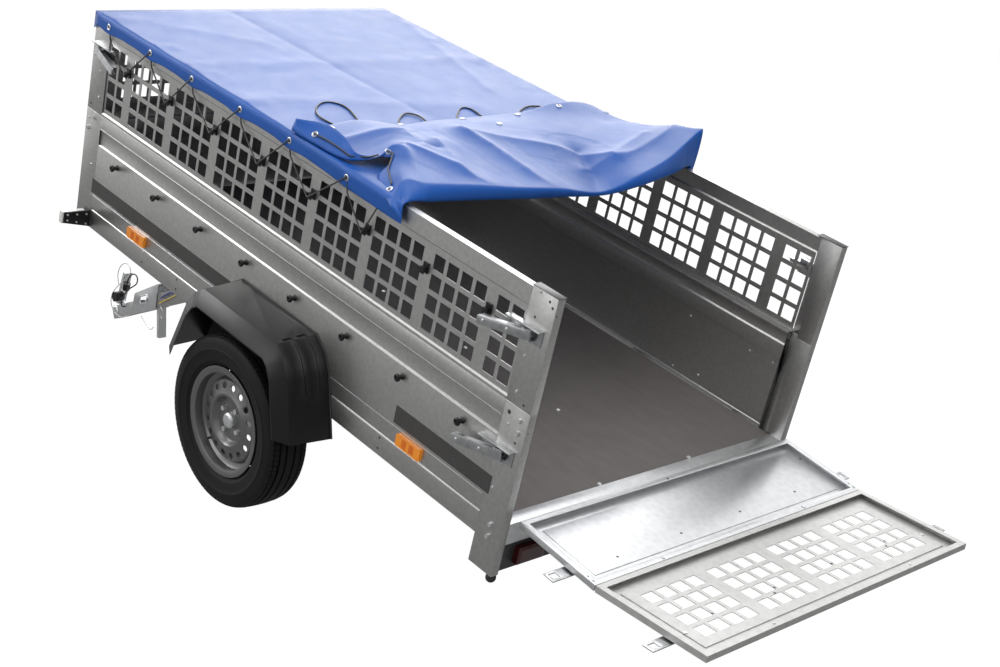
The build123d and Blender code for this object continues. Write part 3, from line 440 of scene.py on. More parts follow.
# the cover: front skirt, top, roll and the loose end laid back over it, in one sheet
cover = {
    "front": 2.408, "halfWidth": 0.655, "skirt": 0.062, "thickness": 0.0012, "flat": (1.44, 2.5),
    "columns": 140, "skirtColumns": 8, "rows": {"skirt": 4, "top": 60, "roll": 10, "loose": 84},
    "sagFrom": 1.30, "clear": 0.0016, "edge": {"out": 0.006, "depth": 0.02},
    "bulge": {"left": 0.45, "less": 0.40, "from": -0.30, "over": 0.30},  # of the roll, flatter to the right
    "fade": 5,  # the ridges die out over a fifth of the loose end
    "rings": {"side": [2.299, 2.024, 1.763, 1.478, 1.205, 0.903], "front": [-0.5, -0.25, 0.0, 0.25, 0.5]},
    "hang": {"between": 0.043, "pulled": 0.009, "width": 0.05},  # the skirt's depth, drawn down at the rings
    "tug": {"height": 0.004, "width": 0.010, "length": 0.07, "lean": 0.3},  # folds drawn by the side rings
    "ridges": [  # line on the bed, height, half-width
        ([(0.938, 0.445), (0.818, 0.400), (0.689, 0.352), (0.603, 0.279)], 0.016, 0.022),
        ([(1.087, 0.579), (1.074, 0.452), (1.049, 0.346), (0.915, 0.365)], 0.010, 0.020),
        ([(1.027, 0.124), (0.887, 0.101), (0.707, 0.095), (0.597, 0.065)], 0.016, 0.024),
        ([(0.997, 0.079), (0.932, -0.051), (0.871, -0.187), (0.759, -0.317)], 0.010, 0.026),
        ([(0.849, -0.254), (0.689, -0.187), (0.554, -0.095)], -0.020, 0.030),
        ([(0.738, -0.173), (0.747, -0.399), (0.828, -0.765)], 0.010, 0.028),
        ([(1.031, 0.338), (0.944, 0.364), (0.908, 0.325)], -0.012, 0.020),
        ([(0.954, 0.286), (0.820, 0.331), (0.715, 0.376)], 0.008, 0.020),
        ([(0.848, -0.564), (0.814, -0.456), (0.761, -0.318)], 0.008, 0.020)],
    "creases": [  # line on the bed, height, half-width
        ([(2.36, 0.10), (1.30, 0.06)], -0.004, 0.020), ([(1.82, 0.64), (1.78, -0.64)], 0.004, 0.018),
        ([(1.50, 0.60), (1.32, -0.20)], 0.004, 0.026), ([(2.20, -0.62), (1.46, -0.40)], 0.004, 0.022),
        ([(2.32, 0.60), (2.02, 0.20)], 0.003, 0.020)],
    "shares": [0, 0.15, 0.3, 0.4, 0.5, 0.6, 0.7, 0.85, 1],
    "net": [  # across, a point below the roll, points from the roll's crest to the hem: x, y, height
        (0.720, (0.640, 0.668, -0.062), [
            (0.666, 0.694, -0.020), (0.821, 0.627, 0.003), (0.861, 0.554, 0.014),
            (0.892, 0.519, 0.028), (0.918, 0.557, 0.030), (0.930, 0.621, 0.040),
            (1.014, 0.608, 0.060), (1.122, 0.612, 0.062), (1.204, 0.652, 0.050)]),
        (0.655, (0.645, 0.664, 0.000), [
            (0.719, 0.617, 0.035), (0.826, 0.537, 0.040), (0.894, 0.485, 0.060),
            (0.930, 0.494, 0.052), (0.906, 0.559, 0.032), (0.935, 0.621, 0.014),
            (0.991, 0.641, 0.006), (1.080, 0.648, 0.005), (1.201, 0.650, 0.005)]),
        (0.550, (0.656, 0.546, -0.008), [
            (0.677, 0.563, 0.043), (0.747, 0.525, 0.046), (0.843, 0.460, 0.050),
            (0.899, 0.425, 0.050), (0.947, 0.401, 0.050), (0.993, 0.393, 0.050),
            (1.037, 0.397, 0.050), (1.119, 0.409, 0.040), (1.212, 0.414, 0.026)]),
        (0.365, (0.653, 0.368, -0.018), [
            (0.654, 0.392, 0.034), (0.733, 0.372, 0.039), (0.812, 0.352, 0.044),
            (0.864, 0.338, 0.048), (0.917, 0.325, 0.050), (0.969, 0.311, 0.049),
            (1.022, 0.298, 0.047), (1.100, 0.278, 0.038), (1.179, 0.258, 0.014)]),
        (0.170, (0.648, 0.169, -0.030), [
            (0.631, 0.212, 0.018), (0.714, 0.195, 0.021), (0.797, 0.179, 0.026),
            (0.853, 0.168, 0.031), (0.908, 0.157, 0.036), (0.964, 0.146, 0.039),
            (1.019, 0.135, 0.042), (1.103, 0.118, 0.037), (1.186, 0.102, 0.016)]),
        (0.015, (0.641, 0.014, -0.036), [
            (0.618, 0.049, 0.006), (0.704, 0.035, 0.012), (0.790, 0.021, 0.019),
            (0.847, 0.011, 0.025), (0.904, 0.002, 0.030), (0.962, -0.008, 0.034),
            (1.019, -0.017, 0.037), (1.105, -0.032, 0.034), (1.190, -0.046, 0.016)]),
        (-0.165, (0.615, -0.167, -0.036), [
            (0.610, -0.143, -0.020), (0.696, -0.151, -0.005), (0.783, -0.159, 0.009),
            (0.841, -0.165, 0.019), (0.898, -0.170, 0.026), (0.956, -0.176, 0.031),
            (1.014, -0.181, 0.034), (1.100, -0.189, 0.031), (1.187, -0.198, 0.020)]),
        (-0.325, (0.606, -0.324, -0.012), [
            (0.609, -0.294, 0.022), (0.694, -0.298, 0.022), (0.779, -0.302, 0.022),
            (0.836, -0.305, 0.024), (0.893, -0.307, 0.026), (0.950, -0.310, 0.029),
            (1.007, -0.313, 0.032), (1.093, -0.317, 0.032), (1.178, -0.321, 0.030)]),
        (-0.510, (0.637, -0.508, 0.000), [
            (0.647, -0.485, 0.058), (0.729, -0.484, 0.049), (0.812, -0.484, 0.042),
            (0.867, -0.483, 0.037), (0.922, -0.483, 0.034), (0.977, -0.482, 0.032),
            (1.032, -0.482, 0.030), (1.115, -0.481, 0.033), (1.198, -0.480, 0.046)]),
        (-0.660, (0.678, -0.645, 0.000), [
            (0.690, -0.640, 0.108), (0.764, -0.641, 0.093), (0.837, -0.642, 0.076),
            (0.886, -0.642, 0.063), (0.935, -0.643, 0.052), (0.984, -0.644, 0.042),
            (1.033, -0.644, 0.033), (1.106, -0.645, 0.032), (1.180, -0.646, 0.036)]),
        (-0.720, (0.690, -0.668, -0.060), [
            (0.695, -0.682, 0.128), (0.751, -0.679, 0.109), (0.807, -0.677, 0.090),
            (0.845, -0.676, 0.078), (0.882, -0.675, 0.066), (0.919, -0.673, 0.055),
            (0.957, -0.672, 0.044), (1.013, -0.670, 0.027), (1.069, -0.668, 0.010)])]}


def along(keys, values, key):
    key = max(keys[0], min(keys[-1], key))
    last = len(keys) - 1
    spot = max(place for place in range(last) if keys[place] <= key)
    slopes = []
    for place in (spot, spot + 1):
        low, high = max(place - 1, 0), min(place + 1, last)
        slopes.append((values[high] - values[low]) / (keys[high] - keys[low]))
    span = keys[spot + 1] - keys[spot]
    share = (key - keys[spot]) / span
    square, cube = share * share, share ** 3
    return (values[spot] * (2 * cube - 3 * square + 1) + slopes[0] * span * (cube - 2 * square + share)
            + values[spot + 1] * (3 * square - 2 * cube) + slopes[1] * span * (cube - square))


def lineDistance(line, x, y):
    best = 9.0
    for start, end in zip(line, line[1:]):
        run = Vector(end) - Vector(start)
        away = Vector((x, y)) - Vector(start)
        share = max(0.0, min(1.0, away.dot(run) / run.length_squared))
        best = min(best, (away - run * share).length)
    return best


def ridgeHeight(table, x, y, reach=4, shoulder=0.5):
    total = 0.0
    for line, height, width in table:
        away = lineDistance(line, x, y) / width
        if away < reach:
            total += height * exp(-away) * (1 + shoulder * away)
    return total


def coverColumn(across):
    net = cover["net"][::-1]
    keys = [row[0] for row in net]
    under = along(keys, [Vector(row[1]) for row in net], across)
    loose = [along(keys, [Vector(row[2][step]) for row in net], across) for step in range(len(cover["shares"]))]
    return under, loose


def skirtDepth(place, rings):
    hang = cover["hang"]
    nearest = min(abs(place - ring) for ring in rings)
    return hang["between"] + hang["pulled"] * exp(-(nearest / hang["width"]) ** 2)


def tugs():
    tug, half = cover["tug"], cover["halfWidth"]
    lines = [[(x, way * half), (x - tug["lean"] * tug["length"], way * (half - tug["length"]))]
             for x in cover["rings"]["side"] for way in (1, -1) if x > cover["sagFrom"]]
    return [(line, tug["height"], tug["width"]) for line in lines]


topFolds = cover["creases"] + tugs()


def coverPoint(row, across, column):
    rows, half, edge, swell = cover["rows"], cover["halfWidth"], cover["edge"], cover["bulge"]
    under, loose = column
    inside = max(-half, min(half, across))
    drop = max(0.0, abs(across) - half)
    if row <= rows["skirt"]:
        depth = skirtDepth(inside, cover["rings"]["front"])
        return Vector((cover["front"], inside, coverTop - depth * (1 - row / rows["skirt"]) - drop))
    row -= rows["skirt"]
    if row <= rows["top"]:
        x = cover["front"] + (under.x - cover["front"]) * row / rows["top"]
        share = max(0.0, min(1.0, (cover["sagFrom"] - x) / (cover["sagFrom"] - under.x)))
        share = share * share * (3 - 2 * share)
        drop *= skirtDepth(x, cover["rings"]["side"]) / cover["skirt"]
        outward = edge["out"] * sin(min(1.0, drop / edge["depth"]) * pi / 2) * (1 if across > 0 else -1)
        flat = Vector((x, inside + outward, cover["clear"] - drop))
        if not drop:
            flat.z += ridgeHeight(topFolds, x, inside) * (1 - share)
        point = flat.lerp(Vector((x, under.y, under.z)), share)
    elif row <= rows["top"] + rows["roll"]:
        angle = pi * (row - rows["top"]) / rows["roll"]
        rise = loose[0] - under
        bulge = swell["left"] - swell["less"] * max(0.0, min(1.0, (swell["from"] - across) / swell["over"]))
        point = under + rise * (1 - cos(angle)) / 2 - Vector((abs(rise.z) * bulge * sin(angle), 0, 0))
    else:
        share = (row - rows["top"] - rows["roll"]) / rows["loose"]
        point = along(cover["shares"], loose, share)
        fade = min(1.0, cover["fade"] * share) * min(1.0, cover["fade"] * (1 - share))
        point.z += ridgeHeight(cover["ridges"], point.x, point.y) * fade
    return point + Vector((0, 0, coverTop))


def coverAcross(column):
    half, skirt, side = cover["halfWidth"], cover["skirt"], cover["skirtColumns"]
    if column < side:
        return -half - skirt * (1 - column / side)
    if column > side + cover["columns"]:
        return half + skirt * (column - side - cover["columns"]) / side
    return half * (2 * (column - side) / cover["columns"] - 1)


def makeCover():
    rows = sum(cover["rows"].values())
    columns = cover["columns"] + 2 * cover["skirtColumns"]
    bm = bmesh.new()
    bmesh.ops.create_grid(bm, x_segments=rows, y_segments=columns, size=0.5)
    flat = bm.loops.layers.uv.new("flat")
    width, length = cover["flat"]
    corners = []
    for face in bm.faces:
        for loop in face.loops:
            loop[flat].uv = ((loop.vert.co.x + 0.5) * length, (loop.vert.co.y + 0.5) * width)
        middle = face.calc_center_median()
        across = coverAcross((middle.y + 0.5) * columns)
        if (middle.x + 0.5) * rows < cover["rows"]["skirt"] and abs(across) > cover["halfWidth"]:
            corners.append(face)
    bmesh.ops.delete(bm, geom=corners, context="FACES")
    columnAt = {}
    for vert in bm.verts:
        across = coverAcross((vert.co.y + 0.5) * columns)
        key = round(across, 6)
        if key not in columnAt:
            columnAt[key] = coverColumn(across)
        vert.co = bedToRow @ coverPoint((vert.co.x + 0.5) * rows, across, columnAt[key])
    bmesh.ops.recalc_face_normals(bm, faces=bm.faces)
    sheet = makePiece("cover_sheet", bm, "tarpaulin", "chassis", smooth=180)
    wall = sheet.modifiers.new("wall", "SOLIDIFY")
    wall.thickness = cover["thickness"]
    wall.offset = 0
    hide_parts("cover_top", "cover_skirts", "cover_fold")


makeCover()
print("cover laid")

# tyres with ribs and shoulder blocks
tyre = {"steps": 96, "blockRise": 0.004, "blockGap": 0.0016,
        "profile": [  # across from the middle plane, radius
            (0.056, 0.183), (0.062, 0.190), (0.067, 0.200), (0.0680, 0.2015), (0.0695, 0.2015), (0.0735, 0.222),
            (0.0755, 0.236), (0.0765, 0.2375), (0.0765, 0.2405), (0.0750, 0.242), (0.0725, 0.260),
            (0.0690, 0.2705), (0.0640, 0.2765), (0.0590, 0.2795), (0.0440, 0.2825), (0.0435, 0.2790),
            (0.0370, 0.2790), (0.0365, 0.2868), (0.0195, 0.2878), (0.0190, 0.2800), (0.0130, 0.2800),
            (0.0125, 0.2880)],
        "shoulder": (0.0435, 0.0645), "treadRadius": 0.2745}


def makeTyre(side):
    body = "wheel_" + side
    bm = bmesh.new()
    whole = tyre["profile"] + [(-across, radius) for across, radius in reversed(tyre["profile"])]
    ring = [bm.verts.new((0, across, radius)) for across, radius in whole]
    edges = [bm.edges.new(pair) for pair in zip(ring, ring[1:])]
    bmesh.ops.spin(bm, geom=ring + edges, cent=(0, 0, 0), axis=(0, 1, 0), angle=2 * pi, steps=tyre["steps"],
                   use_merge=True)
    bmesh.ops.remove_doubles(bm, verts=bm.verts, dist=mergeWithin)
    bmesh.ops.recalc_face_normals(bm, faces=bm.faces)
    middles = {face: face.calc_center_median() for face in bm.faces}
    inward = [face for face, middle in middles.items() if middle.xz.dot(face.normal.xz) < 0]
    if len(inward) > len(bm.faces) / 2:
        bmesh.ops.reverse_faces(bm, faces=bm.faces)
    low, high = tyre["shoulder"]
    blocks = [face for face, middle in middles.items()
              if low < abs(middle.y) < high and middle.xz.length > tyre["treadRadius"]]
    bmesh.ops.inset_individual(bm, faces=blocks, thickness=tyre["blockGap"], depth=tyre["blockRise"])
    bmesh.ops.translate(bm, vec=jointAt[body + "_spin"], verts=bm.verts)
    piece = makePiece("tyre_" + side + "_tread", bm, "tyre", body, 30)
    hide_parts("tyre_" + side)


for side in ("left", "right"):
    makeTyre(side)
print("tyres made")


# small fittings, each seated on the solid below it and joined into one piece with its like
def solidTree(body):
    bm = bmesh.new()
    for node, holder in nodes.items():
        if holder["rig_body"] == body and slotOf[node] not in ("tarpaulin", "cable", "pale_cable"):
            bm.from_mesh(holder.data)
    tree = BVHTree.FromBMesh(bm)
    bm.free()
    return tree


trees = {body: solidTree(body) for body in sorted({holder["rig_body"] for holder in nodes.values()})}


def seated(toRow, body, place, facing, reach=0.06):
    start = toRow @ (Vector(place) + Vector(facing) * reach)
    way = (toRow.to_3x3() @ -Vector(facing)).normalized()
    hit = trees[body].ray_cast(start, way, 2 * reach)[0]
    return (hit, -way) if hit else (None, None)


def aimed(at, facing, up="Y"):
    return Matrix.Translation(at) @ facing.to_track_quat("Z", up).to_matrix().to_4x4()


# a stud's middle is a little below half its height, so that its foot is sunk
def addStud(bm, at, facing, radius, height, sides, top=0.8, middle=0.45):
    bmesh.ops.create_cone(bm, cap_ends=True, segments=sides, radius1=radius, radius2=radius * top, depth=height,
                          matrix=aimed(at + facing * height * middle, facing))


studKinds = {  # radius, height, sides, finish
    "rivet": (0.0045, 0.003, 10, "bright_zinc"), "bolt": (0.009, 0.008, 6, "bright_zinc"),
    # hole, slot and socket are flat dark_steel discs: painted shade for the dark insides of holes, screw slots and
    # bolt sockets
    "screw": (0.0075, 0.003, 10, "bright_zinc"), "hole": (0.0045, 0.0006, 10, "dark_steel"),
    "slot": (0.007, 0.0006, 10, "dark_steel"), "socket": (0.0028, 0.0006, 8, "dark_steel")}
sideStuds = {  # x and z on the outer face of a side
    "hole": [(0.029, 0.688), (0.015, 0.675), (0.068, 0.625), (0.033, 0.372), (0.031, 0.254), (2.379, 0.378),
             (1.934, -0.055), (1.707, -0.020), (1.706, -0.056), (0.560, -0.020), (0.560, -0.056)],
    "rivet": [(0.068, 0.699), (0.072, 0.506), (0.070, 0.397), (0.073, 0.293), (0.075, 0.087), (2.338, 0.512),
              (2.332, 0.417), (2.381, 0.323), (2.334, 0.159), (1.934, -0.018)],
    "bolt": [(0.032, 0.325), (0.029, 0.287), (0.047, -0.021), (0.048, -0.060), (2.343, 0.337), (2.379, 0.287)],
    "slot": [(0.078, 0.329)]}
innerStuds = [(0.509, 0.218), (0.236, 0.218), (0.135, 0.222), (0.410, 0.035), (0.525, 0.014)]  # x, z
leverStuds = [(0.125, 0.568), (0.205, 0.557), (0.125, 0.195), (0.205, 0.184)]  # x, z
bracketStuds = [(0.670, -0.024), (0.670, -0.062), (0.708, -0.022), (0.708, -0.052), (0.746, -0.020),
                (0.746, -0.042)]  # y, z
postSockets = [(0.646, 0.657), (0.645, 0.299)]  # y, z
gateStuds = [(0.33, 0.308, "screw"), (0.608, 0.300, "rivet"), (0.608, 0.280, "socket")]  # y, z, kind
flapStuds = [(0.56, 0.598, "screw"), (0.325, 0.706, "rivet")]
# the gate's and flap's holes are flat dark discs, painted shade for the openings
gateHoles = [(0.439, 0.236), (0.160, 0.231), (-0.119, 0.227), (-0.398, 0.224), (0.590, 0.250), (-0.590, 0.096),
             (0.0, 0.021)]  # y, z
flapHoles = [(0.168, 0.572), (0.141, 0.568), (0.165, 0.588), (-0.385, 0.565), (-0.412, 0.562), (-0.388, 0.584),
             (0.416, 0.570), (-0.134, 0.566)]
floorScrews = [(x, y) for x in (0.054, 0.457, 0.914, 1.371, 1.828, 2.285) for y in (-0.627, -0.212, 0.204, 0.627)
               if x < 0.3 or abs(y) > 0.5] + [(0.453, -0.006), (0.914, 0.0), (1.371, 0.0), (1.828, 0.0)]
seekFrom = {  # where fittings look for their seat: y on the sides, x elsewhere
    "outer": 0.66, "lever": 0.70, "marker": 0.665, "inner": 0.64, "bracket": 2.29, "post": 0.0, "gate": 0.012}


def setStuds():
    bed, gate, flap = (bedToRow, "chassis"), (gateToRow, "tailgate"), (flapToRow, "mesh_flap")
    left, right, ahead, back = (0, 1, 0), (0, -1, 0), (1, 0, 0), (-1, 0, 0)
    rows = [(*bed, (x, seekFrom["outer"], z), left, kind) for kind, spots in sideStuds.items() for x, z in spots]
    rows += [(*bed, (x, seekFrom["lever"], z), left, "rivet") for x, z in leverStuds]
    rows += [(*bed, (x, seekFrom["inner"], z), right, "rivet") for x, z in innerStuds]
    rows += [(*bed, (seekFrom["bracket"], y, z), back, "rivet") for y, z in bracketStuds]
    rows += [(*bed, (seekFrom["post"], y, z), back, "socket") for y, z in postSockets]
    rows += [(*gate, (seekFrom["gate"], y, z), ahead, kind) for y, z, kind in gateStuds]
    rows += [(*flap, (seekFrom["gate"], y, z), ahead, kind) for y, z, kind in flapStuds]
    rows += [(toRow, body, (x, -y, z), (facing[0], -facing[1], facing[2]), kind)
             for toRow, body, (x, y, z), facing, kind in rows]
    rows += [(*bed, (x, y, 0), (0, 0, 1), "screw") for x, y in floorScrews]
    rows += [(*gate, (seekFrom["gate"], y, z), ahead, "hole") for y, z in gateHoles]
    rows += [(*flap, (seekFrom["gate"], y, z), ahead, "hole") for y, z in flapHoles]
    groups = defaultdict(bmesh.new)
    for toRow, body, place, facing, kind in rows:
        at, outward = seated(toRow, body, place, facing)
        if at is None:
            continue
        radius, height, sides, finish = studKinds[kind]
        addStud(groups[body, finish], at, outward, radius, height, sides)
    for (body, finish), bm in groups.items():
        makePiece("_".join((body, finish, "studs")), bm, finish, body, 40)
    return len(rows)


print("studs set:", setStuds())

# dark print strips and bright highlight lines painted along the sides' profile edges, painted shadow lines along
# the fender arches, marker cells
sideFace = 0.653
hookRow = [0.242 + 0.2737 * step for step in range(8)]  # x of the rope buttons and of the hooks above them
sideStripsAndHighlightLines = {"rise": 0.0008, "sets": [  # finish, x from, x to, z from, z to
    ("dark_strip", 1.400, 2.312, 0.060, 0.113), ("dark_strip", 0.083, 0.515, 0.060, 0.118),
    # the bright_zinc lines are painted highlights: the profile's edges at z 0.049 and 0.307 catching the light
    ("bright_zinc", 1.425, 2.318, 0.0475, 0.0500), ("bright_zinc", 0.105, 0.835, 0.0475, 0.0500),
    ("bright_zinc", 0.105, 2.300, 0.3062, 0.3084)]}
markers = {"rows": (0.424, 1.976), "z": 0.024, "cells": (-0.017, 0.017), "size": (0.020, 0.026), "rise": 0.0007}
# the cord along each fender's arch is painted shadow for the gap between fender and side wall
fenderShadowLineAndLiner = {"arch": [(-0.362, -0.140), (-0.296, 0.058), (-0.258, 0.116), (-0.205, 0.152), (0.205, 0.152),
                       (0.258, 0.116), (0.296, 0.058), (0.362, -0.140)], "x": 1.131, "y": 0.6555, "radius": 0.0035,
              "panel": 0.002}


def addBar(bm, toRow, low, high):
    size = Vector(high) - Vector(low)
    middle = (Vector(high) + Vector(low)) / 2
    bmesh.ops.create_cube(bm, size=1, matrix=toRow @ Matrix.Translation(middle) @ Matrix.Diagonal((*size, 1)))


def layStripsAndHighlightLines():
    groups = defaultdict(bmesh.new)
    for finish, x0, x1, z0, z1 in sideStripsAndHighlightLines["sets"]:
        for way in (1, -1):
            edges = sorted((way * sideFace, way * (sideFace + sideStripsAndHighlightLines["rise"])))
            addBar(groups[finish], bedToRow, (x0, edges[0], z0), (x1, edges[1], z1))
    for finish, bm in groups.items():
        makePiece(finish + "_strips", bm, finish, "chassis", 30)
    bm = bmesh.new()
    width, height = markers["size"]
    for x in markers["rows"]:
        for step in markers["cells"]:
            for way in (1, -1):
                start = (x + step, way * seekFrom["marker"], markers["z"])
                local = bedToRow.inverted() @ seated(bedToRow, "chassis", start, (0, way, 0))[0]
                edges = sorted((local.y, local.y + way * markers["rise"]))
                addBar(bm, bedToRow, (x + step - width / 2, edges[0], local.z - height / 2),
                       (x + step + width / 2, edges[1], local.z + height / 2))
    makePiece("marker_cells", bm, "amber_cell", "chassis", 30)


def makeLiners():
    bm = bmesh.new()
    for way, side in ((1, "left"), (-1, "right")):
        route = [(fenderShadowLineAndLiner["x"] + x, way * fenderShadowLineAndLiner["y"], z) for x, z in fenderShadowLineAndLiner["arch"]]
        # a black cord as painted shadow of the gap between the fender and the wall
        layCord("fender_shadow_line_" + side, route, bedToRow, fenderShadowLineAndLiner["radius"], "rubber", "chassis")
        panel = bm.faces.new([bm.verts.new(bedToRow @ Vector(place)) for place in route])
        grown = bmesh.ops.extrude_face_region(bm, geom=[panel])
        moved = [part for part in grown["geom"] if isinstance(part, bmesh.types.BMVert)]
        bmesh.ops.translate(bm, vec=bedToRow.to_3x3() @ Vector((0, way * fenderShadowLineAndLiner["panel"], 0)), verts=moved)
    bmesh.ops.recalc_face_normals(bm, faces=bm.faces)
    makePiece("fender_liners", bm, "rubber", "chassis", 30)


layStripsAndHighlightLines()
makeLiners()

# eyelets of the cover, and its cord laced tight between them and the hooks of the mesh
eyelets = {"ring": 0.0085, "wire": 0.0028, "steps": 12, "stand": 0.002, "probe": 0.01, "nearHem": 0.9,
           "front": {"y": cover["rings"]["front"], "x": 2.4095, "z": 0.685},
           "loose": [  # across, share from the roll's crest to the hem
               (0.600, 0.965), (0.690, 0.87), (0.365, 0.965), (0.045, 0.965), (-0.060, 0.80), (-0.250, 0.965),
               (-0.500, 0.955), (-0.690, 0.955), (0.690, 0.42), (0.700, 0.05)]}
lacing = {"radius": 0.0026, "hookY": 0.668, "hookZ": 0.558, "out": 0.004, "bend": (0.010, 0, 0),
          "below": (-0.012, 0, -0.045), "corner": (0.70, 0.05),  # across and share of the left lace's last ring
          "strip": {"across": 0.69, "clear": 0.005, "front": (0.87, 0.78, 0.70, 0.62, 0.54, 0.48),
                    "rear": (0.42, 0.34, 0.25, 0.15, 0.05)}}


def skirtPoint(x, way):
    across = way * (cover["halfWidth"] + cover["skirt"] / 2)
    column = coverColumn(across)
    share = (cover["front"] - x) / (cover["front"] - column[0].x)
    row = cover["rows"]["skirt"] + share * cover["rows"]["top"]
    return coverPoint(row, across, column) + Vector((0, way * eyelets["stand"], 0))


def loosePoint(across, share):
    rows = cover["rows"]
    row = rows["skirt"] + rows["top"] + rows["roll"] + share * rows["loose"]
    return coverPoint(row, across, coverColumn(across))


def looseNormal(across, share):
    step = eyelets["probe"]
    beyond = share + step if share < eyelets["nearHem"] else share
    run = loosePoint(across, beyond) - loosePoint(across, share - step)
    side = loosePoint(across + step, share) - loosePoint(across - step, share)
    normal = run.cross(side).normalized()
    return normal if normal.z > 0 else -normal


# a shape turned about its axis, to be stamped wherever it is needed
def turnedShape(name, profile, steps, closed=False):
    bm = bmesh.new()
    ring = [bm.verts.new((radius, 0, out)) for out, radius in profile]
    lines = [bm.edges.new(pair) for pair in zip(ring, ring[1:] + ring[:1] if closed else ring[1:])]
    bmesh.ops.spin(bm, geom=ring + lines, cent=(0, 0, 0), axis=(0, 0, 1), angle=2 * pi, steps=steps, use_merge=True)
    bmesh.ops.remove_doubles(bm, verts=bm.verts, dist=mergeWithin)
    bmesh.ops.recalc_face_normals(bm, faces=bm.faces)
    shape = bpy.data.meshes.new(name)
    bm.to_mesh(shape)
    bm.free()
    return shape


def stamp(bm, shape, place):
    before = len(bm.verts)
    bm.from_mesh(shape)
    bm.verts.ensure_lookup_table()
    bmesh.ops.transform(bm, matrix=place, verts=bm.verts[before:])


def setEyelets():
    bm = bmesh.new()
    size, wire = eyelets["ring"], eyelets["wire"]
    profile = [(wire * sin(angle), size + wire * cos(angle)) for angle in (0, pi / 2, pi, 3 * pi / 2)]
    shape = turnedShape("eyelet", profile, eyelets["steps"], closed=True)
    front = eyelets["front"]
    rings = {way: [skirtPoint(x, way) for x in cover["rings"]["side"]] for way in (1, -1)}
    places = [(place, Vector((0, way, 0))) for way in (1, -1) for place in rings[way]]
    places += [(Vector((front["x"], y, front["z"])), Vector((1, 0, 0))) for y in front["y"]]
    for across, share in eyelets["loose"]:
        normal = looseNormal(across, share)
        places.append((loosePoint(across, share) + normal * eyelets["stand"], normal))
    for place, facing in places:
        stamp(bm, shape, aimed(bedToRow @ place, bedToRow.to_3x3() @ facing))
    bpy.data.meshes.remove(shape)
    makePiece("cover_eyelets", bm, "bright_zinc", "chassis", 60)
    for way, side in ((1, "left"), (-1, "right")):
        hooks = [Vector((x, way * lacing["hookY"], lacing["hookZ"])) for x in reversed(hookRow)]
        laced = rings[way] + ([loosePoint(*lacing["corner"])] if way > 0 else [])
        out = Vector((0, way * lacing["out"], 0))
        for step, (ring, after, hook) in enumerate(zip(laced, laced[1:], hooks)):
            route = [after - out, after + out, hook + out, hook + Vector(lacing["bend"]),
                     ring + Vector(lacing["below"]) - out, ring - out]
            layCord("lacing_%s_%d" % (side, step), route, bedToRow, lacing["radius"], "cable", "chassis")
    strip = lacing["strip"]
    for end in ("front", "rear"):
        route = [loosePoint(strip["across"], share) + looseNormal(strip["across"], share) * strip["clear"]
                 for share in strip[end]]
        layCord("lacing_strip_" + end, route, bedToRow, lacing["radius"], "cable", "chassis")


setEyelets()
print("cover laced")

# rope buttons with a foot, a neck and a rounded head
buttons = {"z": 0.213, "steps": 12,
           "profile": [(0.0, 0.0105), (0.003, 0.0100), (0.006, 0.0075), (0.014, 0.0072), (0.017, 0.0110),
                       (0.0205, 0.0130), (0.0235, 0.0128), (0.0258, 0.0095), (0.0258, 0.0060), (0.0225, 0.0045),
                       (0.0225, 0.0)]}


def makeButtons():
    bm = bmesh.new()
    shape = turnedShape("button", buttons["profile"], buttons["steps"])
    for x in hookRow:
        for way in (1, -1):
            place = aimed((x, way * sideFace, buttons["z"]), Vector((0, way, 0)), "X")
            stamp(bm, shape, bedToRow @ place)
    bpy.data.meshes.remove(shape)
    piece = makePiece("rope_buttons_round", bm, "black_plastic", "chassis", 35)
    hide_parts("rope_buttons")


makeButtons()

# wheel bolts and valves
wheelBolts = {"circle": 0.049, "count": 4, "from": 0.05, "reach": 0.1,
              "stud": (0.0105, 0.012, 6, 0.85)}  # radius, height, sides, share of the radius at the top
valve = {"circle": 0.138, "angle": -36, "from": 0.020, "length": 0.034, "radius": 0.0045}


def onWheel(centre, circle, angle, out):
    return centre + Vector((cos(angle) * circle, out, sin(angle) * circle))


def setWheelBolts():
    for side, way in (("left", 1), ("right", -1)):
        body = "wheel_" + side
        centre = jointAt[body + "_spin"]
        bm = bmesh.new()
        for step in range(wheelBolts["count"]):
            angle = 2 * pi * (step + 0.5) / wheelBolts["count"]
            place = onWheel(centre, wheelBolts["circle"], angle, way * wheelBolts["from"])
            at, outward = seated(Matrix(), body, place, (0, way, 0), wheelBolts["reach"])
            addStud(bm, at, outward, *wheelBolts["stud"])
        makePiece(body + "_bolts", bm, "bright_zinc", body, 30)
        route = [onWheel(centre, valve["circle"], radians(valve["angle"]), way * (valve["from"] + length))
                 for length in (0, valve["length"])]
        layCord(body + "_valve", route, Matrix(), valve["radius"], "rubber", body)


setWheelBolts()

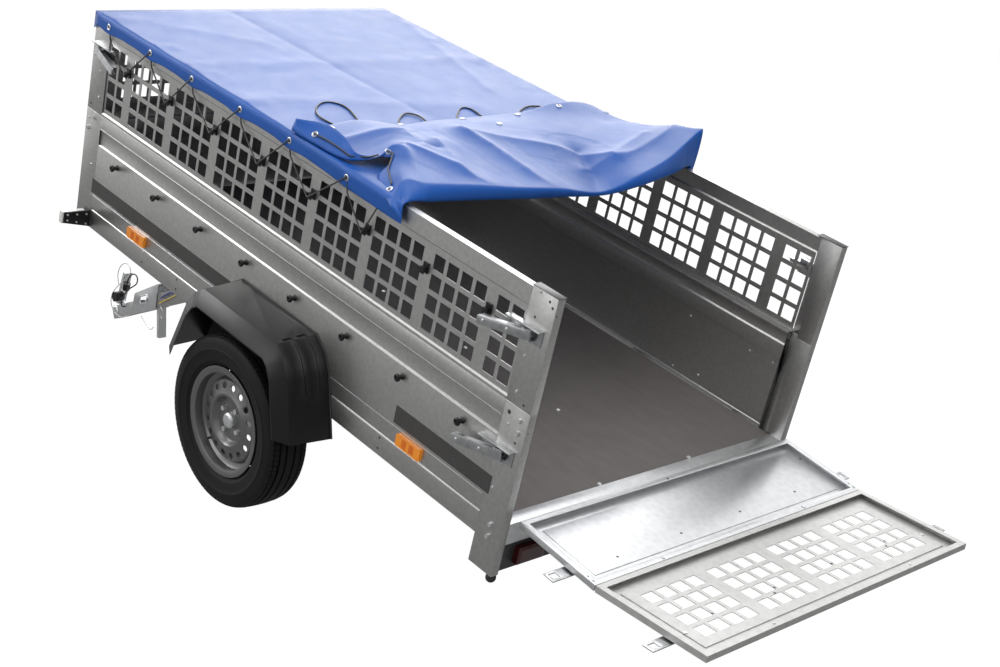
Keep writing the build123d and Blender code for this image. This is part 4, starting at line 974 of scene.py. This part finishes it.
# wires on the drawbar's nose, in the bed's frame
wires = {  # finish, slot if another, radius, closed, y, route in x and z
    "spring_wire": ("bright_zinc", None, 0.0018, False, 0.036, [
        (2.815, -0.788), (2.778, -0.802), (2.742, -0.816), (2.722, -0.807), (2.709, -0.790)]),
    "wire_ring": ("bright_zinc", None, 0.0012, True, 0.045, [
        (2.668, -0.668), (2.663, -0.695), (2.651, -0.715), (2.638, -0.716), (2.630, -0.700), (2.643, -0.680)]),
    "yellow_lead": ("yellow_wire", "cable", 0.0025, False, 0.036, [
        (2.692, -0.669), (2.658, -0.641), (2.618, -0.608), (2.578, -0.576)]),
    "blue_lead": ("blue_wire", "cable", 0.0030, False, 0.036, [
        (2.683, -0.639), (2.650, -0.607), (2.620, -0.583), (2.594, -0.574)])}
for name, (finish, slot, radius, closed, y, route) in wires.items():
    layCord(name, [(x, y, z) for x, z in route], bedToRow, radius, finish, "drawbar", closed=closed)
print("fittings set")

# the front mesh panel's latches, shaped as the gate's upper ones and turned about
frontLatch = {"above": 0.4, "span": 2.4, "lift": 0.012}


def copyLatches():
    toBed = bedToRow.inverted()
    about = Matrix.Translation((frontLatch["span"], 0, frontLatch["lift"])) @ Matrix.Diagonal((-1, 1, 1, 1))
    for node in ("latch_plates", "latch_levers"):
        bm = bmesh.new()
        bm.from_mesh(nodes[node].data)
        low = [vert for vert in bm.verts if (toBed @ vert.co).z < frontLatch["above"]]
        bmesh.ops.delete(bm, geom=low, context="VERTS")
        bmesh.ops.remove_doubles(bm, verts=bm.verts, dist=mergeWithin)
        bmesh.ops.transform(bm, matrix=bedToRow @ about @ toBed, verts=bm.verts)
        bmesh.ops.reverse_faces(bm, faces=bm.faces)
        makePiece("front_" + node, bm, finishOf[node], "chassis", 30)


copyLatches()

softened = {  # edge width: solids
    0.006: ["fender_left", "fender_right"], 0.003: ["drawbar_beam"],
    0.002: ["corner_posts", "mesh_posts", "lamp_brackets", "coupling_body"],
    0.0015: ["side_board_left", "side_board_right", "front_board", "gate_leaf", "rim_left", "rim_right", "hub_left",
             "hub_right"],
    0.001: ["latch_plates", "latch_levers", "coupling_handle", "gate_keepers", "flap_keepers"],
    0.0012: ["drawbar_nose"], 0.0008: ["post_caps", "rear_sill"]}
for width, solids in softened.items():
    for node in solids:
        softenNode(node, width)
print("edges softened:", sum(map(len, softened.values())))
